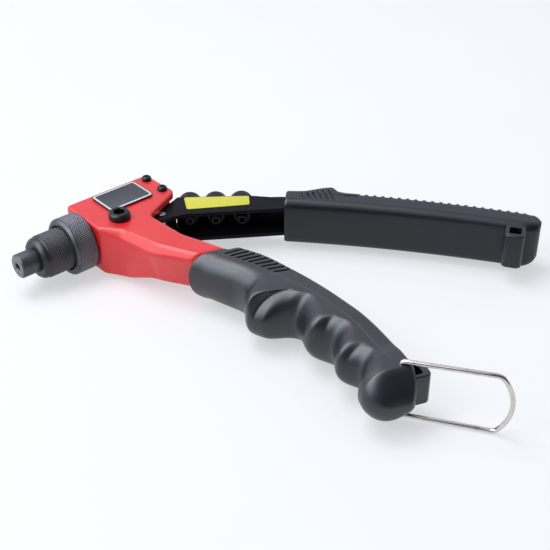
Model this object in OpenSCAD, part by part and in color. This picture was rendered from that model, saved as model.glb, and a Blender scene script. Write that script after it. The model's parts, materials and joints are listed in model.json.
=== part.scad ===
// Hand lever riveter, lying on its side with the plate side up.
// Frame: X runs back along the nose axis from the front face of the fitted nosepiece,
// Y runs across (both handles leave towards -Y), Z is up and the mid-plane is z = 0.
// All lengths are in millimetres and all angles in degrees.

/* [Nose] */
// Length of a nosepiece head
head_len = 9; // [8:0.5:13]
// Diameter of a nosepiece head
head_d = 11.2; // [10:0.2:12.4]
// Bevel on the front edge of a nosepiece head
head_bevel = 0.7; // [0.3:0.1:1.2]
// Bore of the fitted nosepiece
nose_bore_d = 3.2; // [1.8:0.1:4.2]
// Bore of the first spare nosepiece
spare_a_bore_d = 1.8; // [1.4:0.1:4.2]
// Bore of the second spare nosepiece
spare_b_bore_d = 2.2; // [1.4:0.1:4.2]
// Bore of the third spare nosepiece
spare_c_bore_d = 2.7; // [1.4:0.1:4.2]
// Outer diameter of a nosepiece thread
shank_d = 8; // [7:0.2:8.6]
// Length of a nosepiece thread
shank_len = 7; // [5:0.5:8]
// Diameter of the pilot behind the thread, which holds the jaws open
pilot_d = 5.4; // [4.8:0.2:6]
// Length of that pilot
pilot_len = 3; // [2:0.5:4]
// Outer diameter of the knurled nose housing
housing_d = 20; // [18.4:0.2:21]
// Length of nose housing in front of the lock ring
housing_len = 14.5; // [11:0.5:20]
// Diameter of the flange at the back of the nose housing
flange_d = 23.6; // [22.8:0.2:24]
// Thickness of that flange
flange_t = 3; // [2:0.5:4]
// Outer diameter of the knurled lock ring
ring_d = 27; // [26.4:0.2:28]
// Length of the lock ring
ring_len = 11.5; // [10:0.5:15]
// Thickness of the lip at the front of the lock ring
ring_lip_t = 3.2; // [2:0.2:4.5]
// Radial gap between the lip of the lock ring and the nose housing
ring_gap = 0.8; // [0.4:0.1:1]

/* [Jaws] */
// Outer diameter of the jaw case
case_d = 13; // [12.4:0.2:13.4]
// Half angle of the jaw cone
cone_half_angle = 10; // [8:0.5:12]
// Length of the jaw cone inside the jaw case
cone_len = 11; // [10:0.5:12]
// Diameter at the narrow end of the jaw cone
cone_mouth_d = 6.4; // [6:0.1:6.8]
// Length of one jaw
jaw_len = 7.5; // [6:0.5:8]
// Gap between two neighbouring jaws
jaw_gap = 0.9; // [0.6:0.1:1.4]
// Diameter of the toothed bore between the open jaws
jaw_bore_d = 3; // [2:0.2:3.4]
// Pitch of the jaw teeth
tooth_pitch = 1.2; // [0.8:0.1:2]
// Length of the jaw pusher
pusher_len = 4.5; // [4:0.5:5.5]
// Mandrel passage through the pusher and the pull tube
passage_d = 4.4; // [3.6:0.2:4.8]
// Depth of thread between the pull tube and the jaw case
tube_thread_len = 4; // [3:0.5:4.5]
// Diameter of the neck of the pull tube, between the fork arms
neck_d = 10.2; // [9:0.2:10.6]
// Diameter of the collar that the fork arms push
collar_d = 15; // [14.2:0.2:15.2]
// Thickness of that collar
collar_t = 3.2; // [2.5:0.1:4]
// Diameter of the tail of the pull tube, inside the return spring
tail_d = 7.4; // [6.6:0.2:8]
// Length of that tail
tail_len = 10; // [6:0.5:12]
// Wire of the return spring
return_wire_d = 1.3; // [1:0.1:1.5]
// Turns of the return spring
return_turns = 7; // [5:1:8]
// Wire of the jaw spring
jaw_wire_d = 0.8; // [0.6:0.1:0.9]
// Turns of the jaw spring
jaw_turns = 5; // [4:1:6]

/* [Body] */
// Thickness of the body casting
body_t = 24; // [23:0.5:25]
// Length of the body head along the nose axis
body_len = 45; // [42:0.5:48]
// From the nose axis to the far side of the head
body_far = 13; // [12.4:0.2:15]
// Wall between the lever slot and the face of the casting
body_wall = 4; // [3.5:0.1:4.2]
// Width of the bevel along the upper outside of the arm
arm_bevel_w = 3.1; // [2:0.1:4]
// Drop of that bevel
arm_bevel_h = 4.5; // [3:0.5:6]
// How far the outside of the arm leans in towards its underside
arm_lean = 6.5; // [3:0.5:9]
// How far the underside of the arm lies above the underside of the head
arm_step = 3; // [1:0.5:3.5]
// Diameter of the return spring bore
cavity_d = 15.6; // [15.4:0.1:15.8]
// Thickness of the block that closes the back of the body
block_t = 4.6; // [4.2:0.1:6]
// Length of the raised rib beside the pivot bolt
rib_len = 17; // [12:1:18]

/* [Pivot] */
// Distance from the nose axis to the pivot bolt, the short arm of the lever
lever_arm = 12; // [11:0.2:12.4]
// From the front of the body to the pivot bolt
pivot_back = 12.6; // [11:0.2:13.4]
// Diameter of the pivot bolt
bolt_d = 6; // [5:0.5:6.4]
// Head diameter of the pivot bolt
bolt_head_d = 10; // [9.6:0.2:11]
// Head height of the pivot bolt
bolt_head_h = 3.4; // [2.5:0.1:4.5]
// Hexagon key size of the pivot bolt
bolt_key = 5; // [4:0.5:5]
// Outer diameter of the pivot bush
bush_d = 9; // [8.6:0.2:10]
// Size of the pivot nut across flats
nut_af = 10; // [9:0.5:10.5]
// Height of the pivot nut
nut_h = 3; // [2.4:0.1:3.2]
// Head diameter of the rear screws
screw_head_d = 4.8; // [4:0.2:5.2]
// Thread diameter of the rear screws
screw_d = 2.9; // [2.4:0.1:3]

/* [Plate] */
// Length of the plate on the head
plate_l = 24; // [18:0.5:25]
// Width of the plate on the head
plate_w = 16.8; // [12:0.2:17]
// Thickness of that plate
plate_t = 1.1; // [0.5:0.1:1.2]
// From the far edge of the head to the plate
plate_inset = 2.4; // [0.7:0.1:3]
// Corner radius of that plate
plate_r = 2; // [1:0.1:3]

/* [Lever] */
// Width of the lever channel
channel_w = 15; // [14.4:0.1:15.2]
// Plate thickness of the lever channel
channel_t = 1.8; // [1.5:0.1:2.2]
// Depth of the channel where the handle sleeve starts
channel_depth = 10.6; // [9.5:0.1:11]
// Direction of the channel, below the nose axis
channel_angle = 34.5; // [33.5:0.5:35]
// From the pivot along the channel to its bend at the handle sleeve
channel_reach = 76; // [73:0.5:80]
// Radius of the fork tips that push the collar
fork_tip_r = 3; // [2.4:0.1:3.4]
// Diameter of the pin that ties the flanges of the channel
tie_pin_d = 3.4; // [2.6:0.2:3.6]
// Distance between two spare nosepieces
spare_pitch = 12.4; // [12.2:0.1:13.4]

/* [Moving grip] */
// Length of the handle sleeve
sleeve_len = 117; // [110:1:126]
// Thickness of the handle sleeve
sleeve_t = 23.6; // [21:0.2:23.6]
// Radius of the bow of the handle sleeve
sleeve_bow_r = 640; // [560:10:760]
// Direction of the sleeve at its start, below the nose axis
sleeve_angle = 47.6; // [46:0.2:50]
// Wall of the sleeve in front of the channel flanges
sleeve_wall = 1.2; // [1:0.1:2]
// Depth of the sleeve behind the thumb stop
sleeve_depth = 14.6; // [13.8:0.2:16]
// How far the thumb stop stands out
thumb_rise = 4.4; // [3:0.2:6]
// Distance between two notches along the back of the sleeve
notch_pitch = 3.8; // [3.4:0.1:5]
// Length of one notch
notch_len = 2.3; // [1.6:0.1:2.6]
// Depth of the notches
notch_depth = 0.6; // [0.3:0.1:0.8]
// From the start of the sleeve to its first notch
notch_from = 34; // [30:1:40]
// Width of the lugs on both handles
lug_w = 9; // [8:0.5:10]
// Height of the lugs on both handles
lug_h = 17; // [14:0.5:18]
// Top of the lug on the moving grip, above the mid-plane
lug_top = 10.8; // [8:0.2:11]
// Top of the lug on the fixed grip, above the mid-plane
grip_lug_top = 7.8; // [7:0.2:9]
// Length of the hole through a lug
lug_hole_l = 5.4; // [4.4:0.2:6]
// Width of the hole through a lug
lug_hole_w = 4.6; // [4.2:0.2:5.4]

/* [Fixed grip] */
// Radius of the back of the fixed grip, seen from above
grip_bow_r = 152; // [146:1:160]
// Length of the fixed grip along its back
grip_len = 120; // [113:1:124]
// Length of the slanted front lip of the fixed grip
lip_len = 18.5; // [17:0.5:20]
// From the nose axis to the start of the fixed grip
grip_drop = 63.5; // [62:0.5:65]
// From the back of the head to the back of the fixed grip
grip_inset = 9.8; // [9:0.2:11]
// Thickness of the fixed grip
grip_t = 25; // [22:0.5:25.4]
// Width of the flat band along the back of the grip
grip_band_w = 7.5; // [6:0.5:8]
// Depth of the grip in its first finger groove
finger_depth = 15; // [14:0.5:17]
// How far the front finger stop stands out of the grooves
stop_rise = 11; // [6:0.5:12]
// How far the ridges between the fingers stand out of the grooves
ridge_rise = 3.4; // [2:0.2:4.5]
// Thickness of the tang inside the fixed grip
tang_t = 14; // [10:0.5:15]
// Width of that tang
tang_w = 8; // [6:0.5:9]

/* [Bail] */
// Wire of the bail
bail_wire_d = 2; // [1.8:0.1:2.2]
// Distance between the two legs of the bail, inside
bail_gap = 24.2; // [24.2:0.1:25]
// Length of the bail from its pivot to the outside of its bow
bail_len = 43.6; // [41:0.2:46]
// From the end of the fixed grip to the pivot of the bail
bail_back = 11.5; // [9:0.5:13]
// Radius of the bow at the end of the bail
bail_bow_r = 18.2; // [14.6:0.1:20]
// Length of bail end inside the grip
bail_end_len = 4; // [3:0.5:5]

/* [Hidden] */

$fn = 48;
fine = 32;             // facets on small rounds that nothing turns on
eps = 0.01;
run_gap = 0.05;        // radial clearance of a running fit
seat_gap = 0.1;        // clearance of pieces that are clamped or moulded together
free_gap = 0.3;        // between pieces that pass each other

// Places along the nose axis
ring_x = head_len + housing_len;
body_x = ring_x + ring_len;
rear_x = body_x + body_len;
flange_x = ring_x + ring_lip_t + run_gap;
snout_x = flange_x + flange_t;
case_bore_d = case_d + 2 * 0.4;
wall_x = head_len + shank_len + free_gap;      // back of the housing's front wall
case_x = wall_x + 1;
jaw_x = head_len + shank_len + pilot_len + free_gap;
cone_back_d = cone_mouth_d + 2 * cone_len * tan(cone_half_angle);
pusher_x = jaw_x + jaw_len + free_gap;
pivot_x = body_x + pivot_back;
case_end_x = pivot_x - fork_tip_r - 2.1;       // the fork arms pass behind it
tube_x = case_end_x - tube_thread_len;         // front of the pull tube's thread
pivot_y = -lever_arm;
collar_x = pivot_x + fork_tip_r + free_gap;
block_x = rear_x - block_t - 0.4;
cavity_x = pivot_x - 6;
slot_h = body_t - 2 * body_wall;

// Pivot of the lever and the line of its channel
pivot = [pivot_x, pivot_y];
ch_dir = [cos(channel_angle), -sin(channel_angle)];
ch_nrm = [sin(channel_angle), cos(channel_angle)];
open_off = 7;                                   // open edge of the channel, from the pivot line
function on_channel(s, n) = pivot + s * ch_dir + n * ch_nrm;
bend_in = on_channel(channel_reach, open_off);
bend_out = on_channel(channel_reach, open_off + channel_depth);

// Line of the handle sleeve: a bow that starts at the bend of the channel
sl_start = bend_in - sleeve_wall * ch_nrm;
sl_centre = sl_start - sleeve_bow_r * [sin(sleeve_angle), cos(sleeve_angle)];
function on_sleeve(s, n) = let(a = 90 - sleeve_angle - s / sleeve_bow_r * 180 / PI)
    sl_centre + (sleeve_bow_r + n) * [cos(a), sin(a)];

// The channel reaches this far into the sleeve and follows its bow there
inside_len = 52;
function bow(steps, n) = [for (i = steps) on_sleeve(inside_len * i / 4, n)];

// Line of the fixed grip: an arc that its back follows
grip_a0 = 20;
grip_start = [rear_x - grip_inset, -grip_drop];
grip_centre = grip_start - grip_bow_r * [cos(grip_a0), sin(grip_a0)];
function on_grip(s, n) = let(a = grip_a0 - s / grip_bow_r * 180 / PI)
    grip_centre + (grip_bow_r - n) * [cos(a), sin(a)];

// The two ends of the grip's slanted front lip
lip_angle = 159.8;
lip_in = on_grip(0, 1.8);
lip_out = lip_in + lip_len * [cos(lip_angle), sin(lip_angle)];
bail_pivot = on_grip(grip_len - bail_back, 2.8);
bail_angle = -56.5;                             // as it lies in use

// Rounded polygons: each corner is [x, y, radius]
function unit(v) = v / norm(v);
function xy(p) = [p[0], p[1]];
function turn_to(d) = let(m = d % 360) m > 180 ? m - 360 : m < -180 ? m + 360 : m;
function corner_arc(a, b, c, r, n) = r <= 0 ? [b] : let(
    u = unit(a - b),
    v = unit(c - b),
    half = acos(u * v) / 2,
    o = b + unit(u + v) * r / sin(half),
    p = b + u * r / tan(half) - o,
    q = b + v * r / tan(half) - o,
    a0 = atan2(p[1], p[0]),
    sweep = turn_to(atan2(q[1], q[0]) - a0))
    [for (i = [0:n]) o + r * [cos(a0 + sweep * i / n), sin(a0 + sweep * i / n)]];
function rounded(pts, n = 5) = let(m = len(pts)) [for (i = [0:m - 1])
    each corner_arc(xy(pts[(i + m - 1) % m]), xy(pts[i]), xy(pts[(i + 1) % m]),
                    pts[i][2], n)];

// Smooth value between listed stations [s, value]
function blend(table, s, i = 0) =
    s <= table[0][0] ? table[0][1] :
    i >= len(table) - 1 ? table[len(table) - 1][1] :
    s <= table[i + 1][0] ?
        let(t = (s - table[i][0]) / (table[i + 1][0] - table[i][0]))
        table[i][1] + (table[i + 1][1] - table[i][1]) * (1 - cos(180 * t)) / 2 :
    blend(table, s, i + 1);

// Solid through a list of rings that all have the same number of points
module loft(rings, flip = false) {
    m = len(rings);
    k = len(rings[0]);
    points = [for (r = rings) each r];
    sides = [for (i = [0:m - 2]) for (j = [0:k - 1]) each
        [[i * k + j, i * k + (j + 1) % k, (i + 1) * k + (j + 1) % k],
         [i * k + j, (i + 1) * k + (j + 1) % k, (i + 1) * k + j]]];
    front = [for (j = [1:k - 2]) [0, j + 1, j]];
    back = [for (j = [1:k - 2]) let(b = (m - 1) * k) [b, b + j, b + j + 1]];
    faces = concat(sides, front, back);
    polyhedron(points = points, convexity = 6,
               faces = flip ? [for (f = faces) [f[2], f[1], f[0]]] : faces);
}

// Cylinder along the nose axis
module along_x(x, d, l, fn = $fn) {
    translate([x, 0, 0]) rotate([0, 90, 0]) cylinder(d = d, h = l, $fn = fn);
}

// Solid of revolution about the nose axis from [x, radius] corners
module turned(profile, fn = $fn) {
    rotate([0, 90, 0]) rotate_extrude($fn = fn)
        polygon([for (p = profile) [p[1], p[0]]]);
}

// Straight bevel of width w along the edge from p to q, on the top or the bottom face
module edge_cut(p, q, w, side) {
    d = q - p;
    translate([p[0], p[1], side * body_t / 2]) rotate([0, 0, atan2(d[1], d[0])])
        rotate([90, 0, 90]) linear_extrude(norm(d))
            polygon([[-w, 0], [-w, side], [3, side], [3, -side * w], [0, -side * w]]);
}

// Helical spring wire along X
module helix(x0, x1, r, d, turns, steps = 12, k = 6) {
    n = turns * steps;
    loft([for (i = [0:n])
        let(a = 360 * i / steps,
            x = x0 + d / 2 + (x1 - x0 - d) * i / n,
            e = [0, cos(a), sin(a)])
        [for (j = [0:k - 1]) let(b = -360 * j / k)
            [x, 0, 0] + (r + d / 2 * cos(b)) * e + [d / 2 * sin(b), 0, 0]]]);
}

// A nosepiece with its front face at the origin, pointing to -X
module nose(bore_d) {
    r = head_d / 2;
    b = bore_d / 2;
    turned([[0, b], [0, r - head_bevel], [head_bevel, r], [head_len, r],
            [head_len, shank_d / 2], [head_len + shank_len, shank_d / 2],
            [head_len + shank_len, pilot_d / 2],
            [head_len + shank_len + pilot_len - 0.5, pilot_d / 2],
            [head_len + shank_len + pilot_len, pilot_d / 2 - 0.6],
            [head_len + shank_len + pilot_len, b]]);
}

module nosepiece() { color("#4a4a4c") nose(nose_bore_d); }

module nose_housing() {
    r = housing_d / 2;
    color("#57575a") turned([
        [head_len, shank_d / 2 + run_gap], [head_len, r - 1.5], [head_len + 1.3, r - 0.4],
        [head_len + 3.2, r - 0.4], [head_len + 3.6, r], [flange_x, r],
        [flange_x, flange_d / 2], [flange_x + flange_t, flange_d / 2],
        [flange_x + flange_t, case_bore_d / 2], [wall_x, case_bore_d / 2],
        [wall_x, shank_d / 2 + run_gap]]);
}

module lock_ring() {
    r = ring_d / 2;
    color("#5d5d60") turned([
        [ring_x, housing_d / 2 + ring_gap], [ring_x, r - 1.1], [ring_x + 1.1, r],
        [body_x - 0.8, r], [body_x - 0.3, r - 0.5], [body_x - 0.3, flange_d / 2 + seat_gap],
        [ring_x + ring_lip_t, flange_d / 2 + seat_gap],
        [ring_x + ring_lip_t, housing_d / 2 + ring_gap]]);
}

module jaw_case() {
    m = cone_mouth_d / 2;
    c = cone_back_d / 2;
    color("#8c8c8e") turned([
        [case_x, m], [case_x, case_d / 2 - 0.6], [case_x + 0.6, case_d / 2],
        [case_end_x, case_d / 2], [case_end_x, c], [case_x + 2 + cone_len, c],
        [case_x + 2, m]]);
}

module pull_tube() {
    c = cone_back_d / 2 - seat_gap / 2;
    p = passage_d / 2;
    color("#8c8c8e") turned([
        [tube_x, p], [tube_x, c], [case_end_x, c], [case_end_x, neck_d / 2],
        [collar_x, neck_d / 2], [collar_x, collar_d / 2], [collar_x + collar_t, collar_d / 2],
        [collar_x + collar_t, tail_d / 2], [collar_x + collar_t + tail_len, tail_d / 2],
        [collar_x + collar_t + tail_len, p]]);
}

// One of the three jaws, centred on the direction turn
module jaw(turn) {
    clear = 0.3;
    r0 = cone_mouth_d / 2 + (jaw_x - case_x - 2) * tan(cone_half_angle) - clear;
    r1 = r0 + jaw_len * tan(cone_half_angle);
    teeth = floor(jaw_len / tooth_pitch);
    bore = jaw_bore_d / 2;
    outer = [[jaw_x, r0], [jaw_x + jaw_len - 0.8, r1 - 0.8 * tan(cone_half_angle)],
             [jaw_x + jaw_len, r1 - 1]];
    toothed = [for (i = [teeth - 1:-1:0]) each
        [[jaw_x + (i + 1) * tooth_pitch, bore], [jaw_x + i * tooth_pitch, bore + 0.4]]];
    rotate([turn, 0, 0]) intersection() {
        turned(concat(outer, [[jaw_x + jaw_len, bore]], toothed));
        rotate([0, 90, 0]) linear_extrude(jaw_x + 2 * jaw_len)
            polygon([[-jaw_gap / 2 / sin(60), 0],
                     [-jaw_gap / 2 / sin(60) - 10, 10 * tan(60)],
                     [-jaw_gap / 2 / sin(60) - 10, -10 * tan(60)]]);
    }
}

module jaw_top() { color("#77777a") jaw(0); }
module jaw_left() { color("#77777a") jaw(-120); }
module jaw_right() { color("#77777a") jaw(120); }

module jaw_pusher() {
    p = passage_d / 2;
    c = cone_back_d / 2 - free_gap;
    color("#8c8c8e") turned([
        [pusher_x, p], [pusher_x, p + 0.5], [pusher_x + 1, c - 1.3],
        [pusher_x + 3.6, c], [pusher_x + pusher_len, c],
        [pusher_x + pusher_len, p]]);
}

module jaw_spring() {
    color("silver") helix(pusher_x + pusher_len, tube_x, cone_back_d / 2 - jaw_wire_d / 2 - 0.4,
                          jaw_wire_d, jaw_turns);
}

module return_spring() {
    color("silver") helix(collar_x + collar_t, block_x, tail_d / 2 + return_wire_d / 2 + 0.4,
                          return_wire_d, return_turns);
}

// Outline of the casting seen from above
lip_dir = unit(lip_out - lip_in);
lip_gap = seat_gap * [-lip_dir[1], lip_dir[0]];
arm_end = lip_out - 1.7 * lip_dir - lip_gap;
arm_outer = [[body_x, pivot_y - 1.2], [body_x + 5.6, pivot_y - 11.5],
             [body_x + 8.9, pivot_y - 29], arm_end];
arm_inner = [[rear_x - 20.4, -18.8], [rear_x - 19.2, -41.3], [rear_x - 15.5, -52.5],
             lip_in + 0.8 * lip_dir - lip_gap];
body_outline = [
    [body_x, body_far, 1], [rear_x, body_far, 1.6], [rear_x + 1, -8.5, 3],
    [arm_inner[0][0], arm_inner[0][1], 1], [arm_inner[1][0], arm_inner[1][1], 12],
    [arm_inner[2][0], arm_inner[2][1], 20], [arm_inner[3][0], arm_inner[3][1], 0],
    [arm_end[0], arm_end[1], 0], [arm_outer[2][0] - 0.3, arm_outer[2][1], 14],
    [arm_outer[1][0] - 0.3, arm_outer[1][1], 8], [body_x, pivot_y - 1.8, 2]];

// Tang of the casting inside the fixed grip, grown by a clearance on every side
tang_in = 3.6;
tang_end = grip_len - 24;
module tang(grow) {
    n = 14;
    s0 = -3;
    back = [for (i = [0:n]) on_grip(s0 + (tang_end + grow - s0) * i / n, tang_in - grow)];
    front = [for (i = [n:-1:0])
        on_grip(s0 + (tang_end + grow - s0) * i / n, tang_in + tang_w + grow)];
    translate([0, 0, -tang_t / 2 - grow]) linear_extrude(tang_t + 2 * grow)
        polygon(concat(back, front));
}

// Room for the lever inside the casting: the fork, the hub and the sweep of its channel
module lever_slot() {
    translate([0, 0, -slot_h / 2]) linear_extrude(slot_h) polygon([
        [pivot_x - 4.2, fork_tip_r + 0.6], [pivot_x - 7.2, pivot_y + 3],
        [pivot_x - 7.2, pivot_y - 2], [pivot_x - 5.2, pivot_y - 5.2],
        [pivot_x - 1.5, pivot_y - 7.3], [pivot_x + lever_arm, pivot_y - 22],
        [pivot_x + lever_arm + 4, pivot_y - 26], [rear_x + 3, pivot_y - lever_arm],
        [rear_x + 3, 1.2], [pivot_x + lever_arm, fork_tip_r + 0.6]]);
}

module body_casting() {
    color("#d5242b") difference() {
        union() {
            translate([0, 0, -body_t / 2]) linear_extrude(body_t)
                polygon(rounded(body_outline));
            along_x(snout_x + run_gap, flange_d, body_x - snout_x);
            tang(0);
            arm_rib();
        }
        for (side = [-1, 1]) edge_cut([body_x, -17], [body_x, body_far + 1], 1, side);
        arm_side();
        arm_relief();
        along_x(snout_x - 1, case_bore_d, cavity_x - snout_x + 1 + eps);
        along_x(cavity_x, cavity_d, rear_x - cavity_x - block_t + 1);
        lever_slot();
        block_room(seat_gap);
        translate([pivot_x, pivot_y, -body_t]) cylinder(d = bolt_d + 2 * run_gap, h = 2 * body_t);
        nut_room();
        for (p = screw_at) translate([p[0], p[1], 0])
            cylinder(d = screw_d + 2 * run_gap, h = body_t, $fn = fine);
    }
}

// Everything outside the bevel and the leaning outer side of the arm. The line runs from
// the front of the head to the lip; bevel and lean grow along it.
function along(p, i) = i == 0 ? 0 : along(p, i - 1) + norm(p[i] - p[i - 1]);
module arm_side() {
    z = body_t / 2;
    start = arm_outer[0] - unit(arm_outer[1] - arm_outer[0]);
    turns = rounded([[start[0], start[1], 0], [arm_outer[1][0], arm_outer[1][1], 8],
                     [arm_outer[2][0], arm_outer[2][1], 14], [arm_end[0], arm_end[1], 0]]);
    last = len(turns) - 1;
    line = concat(turns, [arm_end + 5 * unit(arm_end - turns[last - 1])]);
    loft([for (i = [0:last + 1])
        let(u = unit(line[min(i + 1, last + 1)] - line[max(i - 1, 0)]),
            v = [-u[1], u[0]],
            s = along(line, i),
            k = blend([[0, 0.28], [13, 0.85], [18, 1], [31, 1], [47, 0.74]], s),
            w = arm_bevel_w * k,
            h = arm_bevel_h * k,
            l = arm_lean * blend([[10, 0], [31, 0.85], [48, 1]], s) * (2 * z + 2 - h) / (2 * z - h))
        [for (q = [[w, z], [w, z + 2], [-6, z + 2], [-6, -z - 2], [l, -z - 2], [0, z - h]])
            [line[i][0] + q[0] * v[0], line[i][1] + q[0] * v[1], q[1]]]], true);
}

// Raised rib where the top of the arm meets its bevel
module arm_rib() {
    d = unit(arm_outer[2] - arm_outer[1]);
    p = arm_outer[1] + 1.5 * d + (arm_bevel_w + 0.2) * [-d[1], d[0]];
    translate([p[0], p[1], body_t / 2 - 0.2]) rotate([0, 90, atan2(d[1], d[0])])
        cylinder(d = 1.6, h = rib_len, $fn = fine);
}

// The underside of the arm steps up behind the head
module arm_relief() {
    far = lip_out[1] - 12;
    translate([body_x - 5, 0, -body_t / 2]) rotate([90, 0, 90]) linear_extrude(body_len)
        polygon([[pivot_y - 12.5, -1], [pivot_y - 12.5, 0], [pivot_y - 23, arm_step],
                 [far, arm_step], [far, -1]]);
}

// Block that closes the back of the head, held by two screws through the top wall
block_far = body_far - 2;
block_near = 6.2;
screw_at = [[block_x + block_t / 2 + 0.1, block_far - 2.4],
            [block_x + block_t / 2 + 0.1, -block_near + 2.2]];
module block_room(grow) {
    translate([block_x - grow, -block_near - grow, -slot_h / 2 - grow])
        cube([block_t + 10, block_near + block_far + 2 * grow, slot_h + 2 * grow]);
}

module rear_block() {
    color("#222224") difference() {
        translate([block_x, -block_near, -slot_h / 2])
            cube([block_t, block_near + block_far, slot_h]);
        along_x(block_x - 1, passage_d, block_t + 2);
        for (p = screw_at) translate([p[0], p[1], -1])
            cylinder(d = screw_d + 2 * run_gap, h = body_t, $fn = fine);
    }
}

// Pan head screws with a cross recess
module rear_screws() {
    color("#1d1d1f") for (p = screw_at) translate([p[0], p[1], 0]) {
        cylinder(d = screw_d, h = body_t / 2 + 0.2, $fn = fine);
        difference() {
            translate([0, 0, body_t / 2]) rotate_extrude($fn = fine) polygon([
                [0, 0], [screw_head_d / 2, 0], [screw_head_d / 2, 0.8],
                [screw_head_d / 2 * 0.82, 1.6], [screw_head_d / 2 * 0.45, 2], [0, 2.1]]);
            for (a = [0, 90]) rotate([0, 0, a + 35]) translate([-1.3, -0.3, body_t / 2 + 1])
                cube([2.6, 0.6, 2]);
        }
    }
}

module nut_room() {
    translate([pivot_x, pivot_y, -body_t / 2 - 1])
        cylinder(d = (nut_af + 2 * seat_gap) / cos(30), h = nut_h + 1, $fn = 6);
}

module pivot_bolt() {
    color("#1d1d1f") translate([pivot_x, pivot_y, 0]) {
        translate([0, 0, -body_t / 2 + 0.2]) cylinder(d = bolt_d, h = body_t);
        difference() {
            translate([0, 0, body_t / 2]) rotate_extrude() polygon([
                [0, 0], [bolt_head_d / 2, 0], [bolt_head_d / 2, bolt_head_h - 1],
                [bolt_head_d / 2 - 0.9, bolt_head_h], [0, bolt_head_h]]);
            translate([0, 0, body_t / 2 + 0.8])
                cylinder(d = bolt_key / cos(30), h = bolt_head_h, $fn = 6);
        }
    }
}

module pivot_bush() {
    color("#a08a4c") translate([pivot_x, pivot_y, -slot_h / 2 + seat_gap]) difference() {
        cylinder(d = bush_d, h = slot_h - 2 * seat_gap);
        translate([0, 0, -1]) cylinder(d = bolt_d + 2 * run_gap, h = slot_h + 2);
    }
}

module pivot_nut() {
    color("#1d1d1f") translate([pivot_x, pivot_y, -body_t / 2 + 0.2]) difference() {
        cylinder(d = nut_af / cos(30), h = nut_h - 0.2, $fn = 6);
        translate([0, 0, -1]) cylinder(d = bolt_d + 2 * run_gap, h = nut_h + 2);
    }
}

module side_plate() {
    x = body_x + 12;
    y = body_far - plate_inset - plate_w;
    color("#3c3e42") translate([0, 0, body_t / 2]) difference() {
        linear_extrude(plate_t) polygon(rounded([
            [x, y, plate_r], [x + plate_l, y, plate_r],
            [x + plate_l, y + plate_w, plate_r], [x, y + plate_w, plate_r]]));
        translate([pivot_x, pivot_y, -1]) cylinder(d = bolt_head_d + 2 * seat_gap, h = plate_t + 2);
    }
}

// Corners along the back of the channel
flange_back = on_channel(27.1, 23);
flange_mid = on_channel(channel_reach - 15, 20.6);
flange_low = on_channel(channel_reach - 5, 18);

// The slanted edge behind the hub, and the strip that closes most of it
slope_front = on_channel(17.6, 10.8);
slope_dir = unit(flange_back - slope_front);
slope_nrm = [slope_dir[1], -slope_dir[0]];
slope_back = flange_back - 2 * slope_dir + 0.25 * slope_nrm;
hub_a = slope_front + 1.6 * slope_dir + 0.25 * slope_nrm;
hub_b = hub_a + 9 * slope_dir;
hub_web = [hub_a, hub_b, hub_b + channel_t * slope_nrm, hub_a + channel_t * slope_nrm];

// Flange of the lever: hub and fork tip at the pivot, then the channel side
flange_outline = concat(
    [for (a = [0:20:180]) [pivot_x + fork_tip_r * cos(a), fork_tip_r * sin(a)]],
    [[pivot_x - fork_tip_r - 0.2, pivot_y + 6]],
    [for (a = [150:20:290]) pivot + 6.6 * [cos(a), sin(a)]],
    [on_channel(23.7, 5.4), on_channel(30, open_off), bend_in],
    bow([1:4], sleeve_wall), bow([4:-1:1], sleeve_wall + channel_depth),
    [bend_out, flange_low, flange_mid, flange_back, slope_front,
     on_channel(16, 8), on_channel(16.4, 5.6), [pivot_x + 5.6, pivot_y + 3.6],
     [pivot_x + 3.2, pivot_y + 6.5]]);

module lever_channel() {
    color("#17171b") difference() {
        union() {
            for (z = [-channel_w / 2, channel_w / 2 - channel_t])
                translate([0, 0, z]) linear_extrude(channel_t) polygon(flange_outline);
            translate([0, 0, -channel_w / 2]) linear_extrude(channel_w) polygon(web_outline);
            translate([0, 0, -channel_w / 2]) linear_extrude(channel_w) polygon(hub_web);
        }
        translate([pivot_x, pivot_y, -body_t]) cylinder(d = bush_d + 2 * run_gap, h = 2 * body_t);
        translate([tie_at[0], tie_at[1], -body_t])
            cylinder(d = tie_pin_d + 2 * run_gap, h = 2 * body_t);
        for (i = [0:2]) spare_place(i)
            translate([head_len - 1, 0, 0]) rotate([0, 90, 0])
                cylinder(d = shank_d + 2 * run_gap, h = shank_len);
    }
}

// Pin that ties the two flanges together in front of the web
tie_at = on_channel(19, 8.6);
module tie_pin() {
    color("#b9b9bc") translate([tie_at[0], tie_at[1], -channel_w / 2 - 0.2])
        cylinder(d = tie_pin_d, h = channel_w + 0.4);
}

// Web of the channel: a strip inside the back edge of the flanges
web_line = concat([flange_back, flange_mid, flange_low, bend_out],
                  bow([1:4], sleeve_wall + channel_depth));
web_inner = [each bow([4:-1:1], sleeve_wall + channel_depth - channel_t),
             bend_out - channel_t * ch_nrm,
             flange_low - channel_t * ch_nrm,
             flange_mid - channel_t * ch_nrm,
             flange_back - channel_t * 1.03 * ch_nrm + 0.2 * ch_dir,
             slope_back + channel_t * 0.8 * slope_nrm, slope_back];
web_outline = concat(web_line, web_inner);
web_dir = unit(web_line[1] - web_line[0]);
web_nrm = [-web_dir[1], web_dir[0]];

// Seat of one spare nosepiece: its head rests on the back of the web
module spare_place(i) {
    p = flange_back + web_dir * (5.5 + i * spare_pitch) + web_nrm * head_len;
    translate([p[0], p[1], 0]) rotate([0, 0, atan2(-web_nrm[1], -web_nrm[0])]) children();
}

module spare_nose_small() { color("#3f3f42") spare_place(0) nose(spare_a_bore_d); }
module spare_nose_medium() { color("#3f3f42") spare_place(1) nose(spare_b_bore_d); }
module spare_nose_large() { color("#3f3f42") spare_place(2) nose(spare_c_bore_d); }

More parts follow.
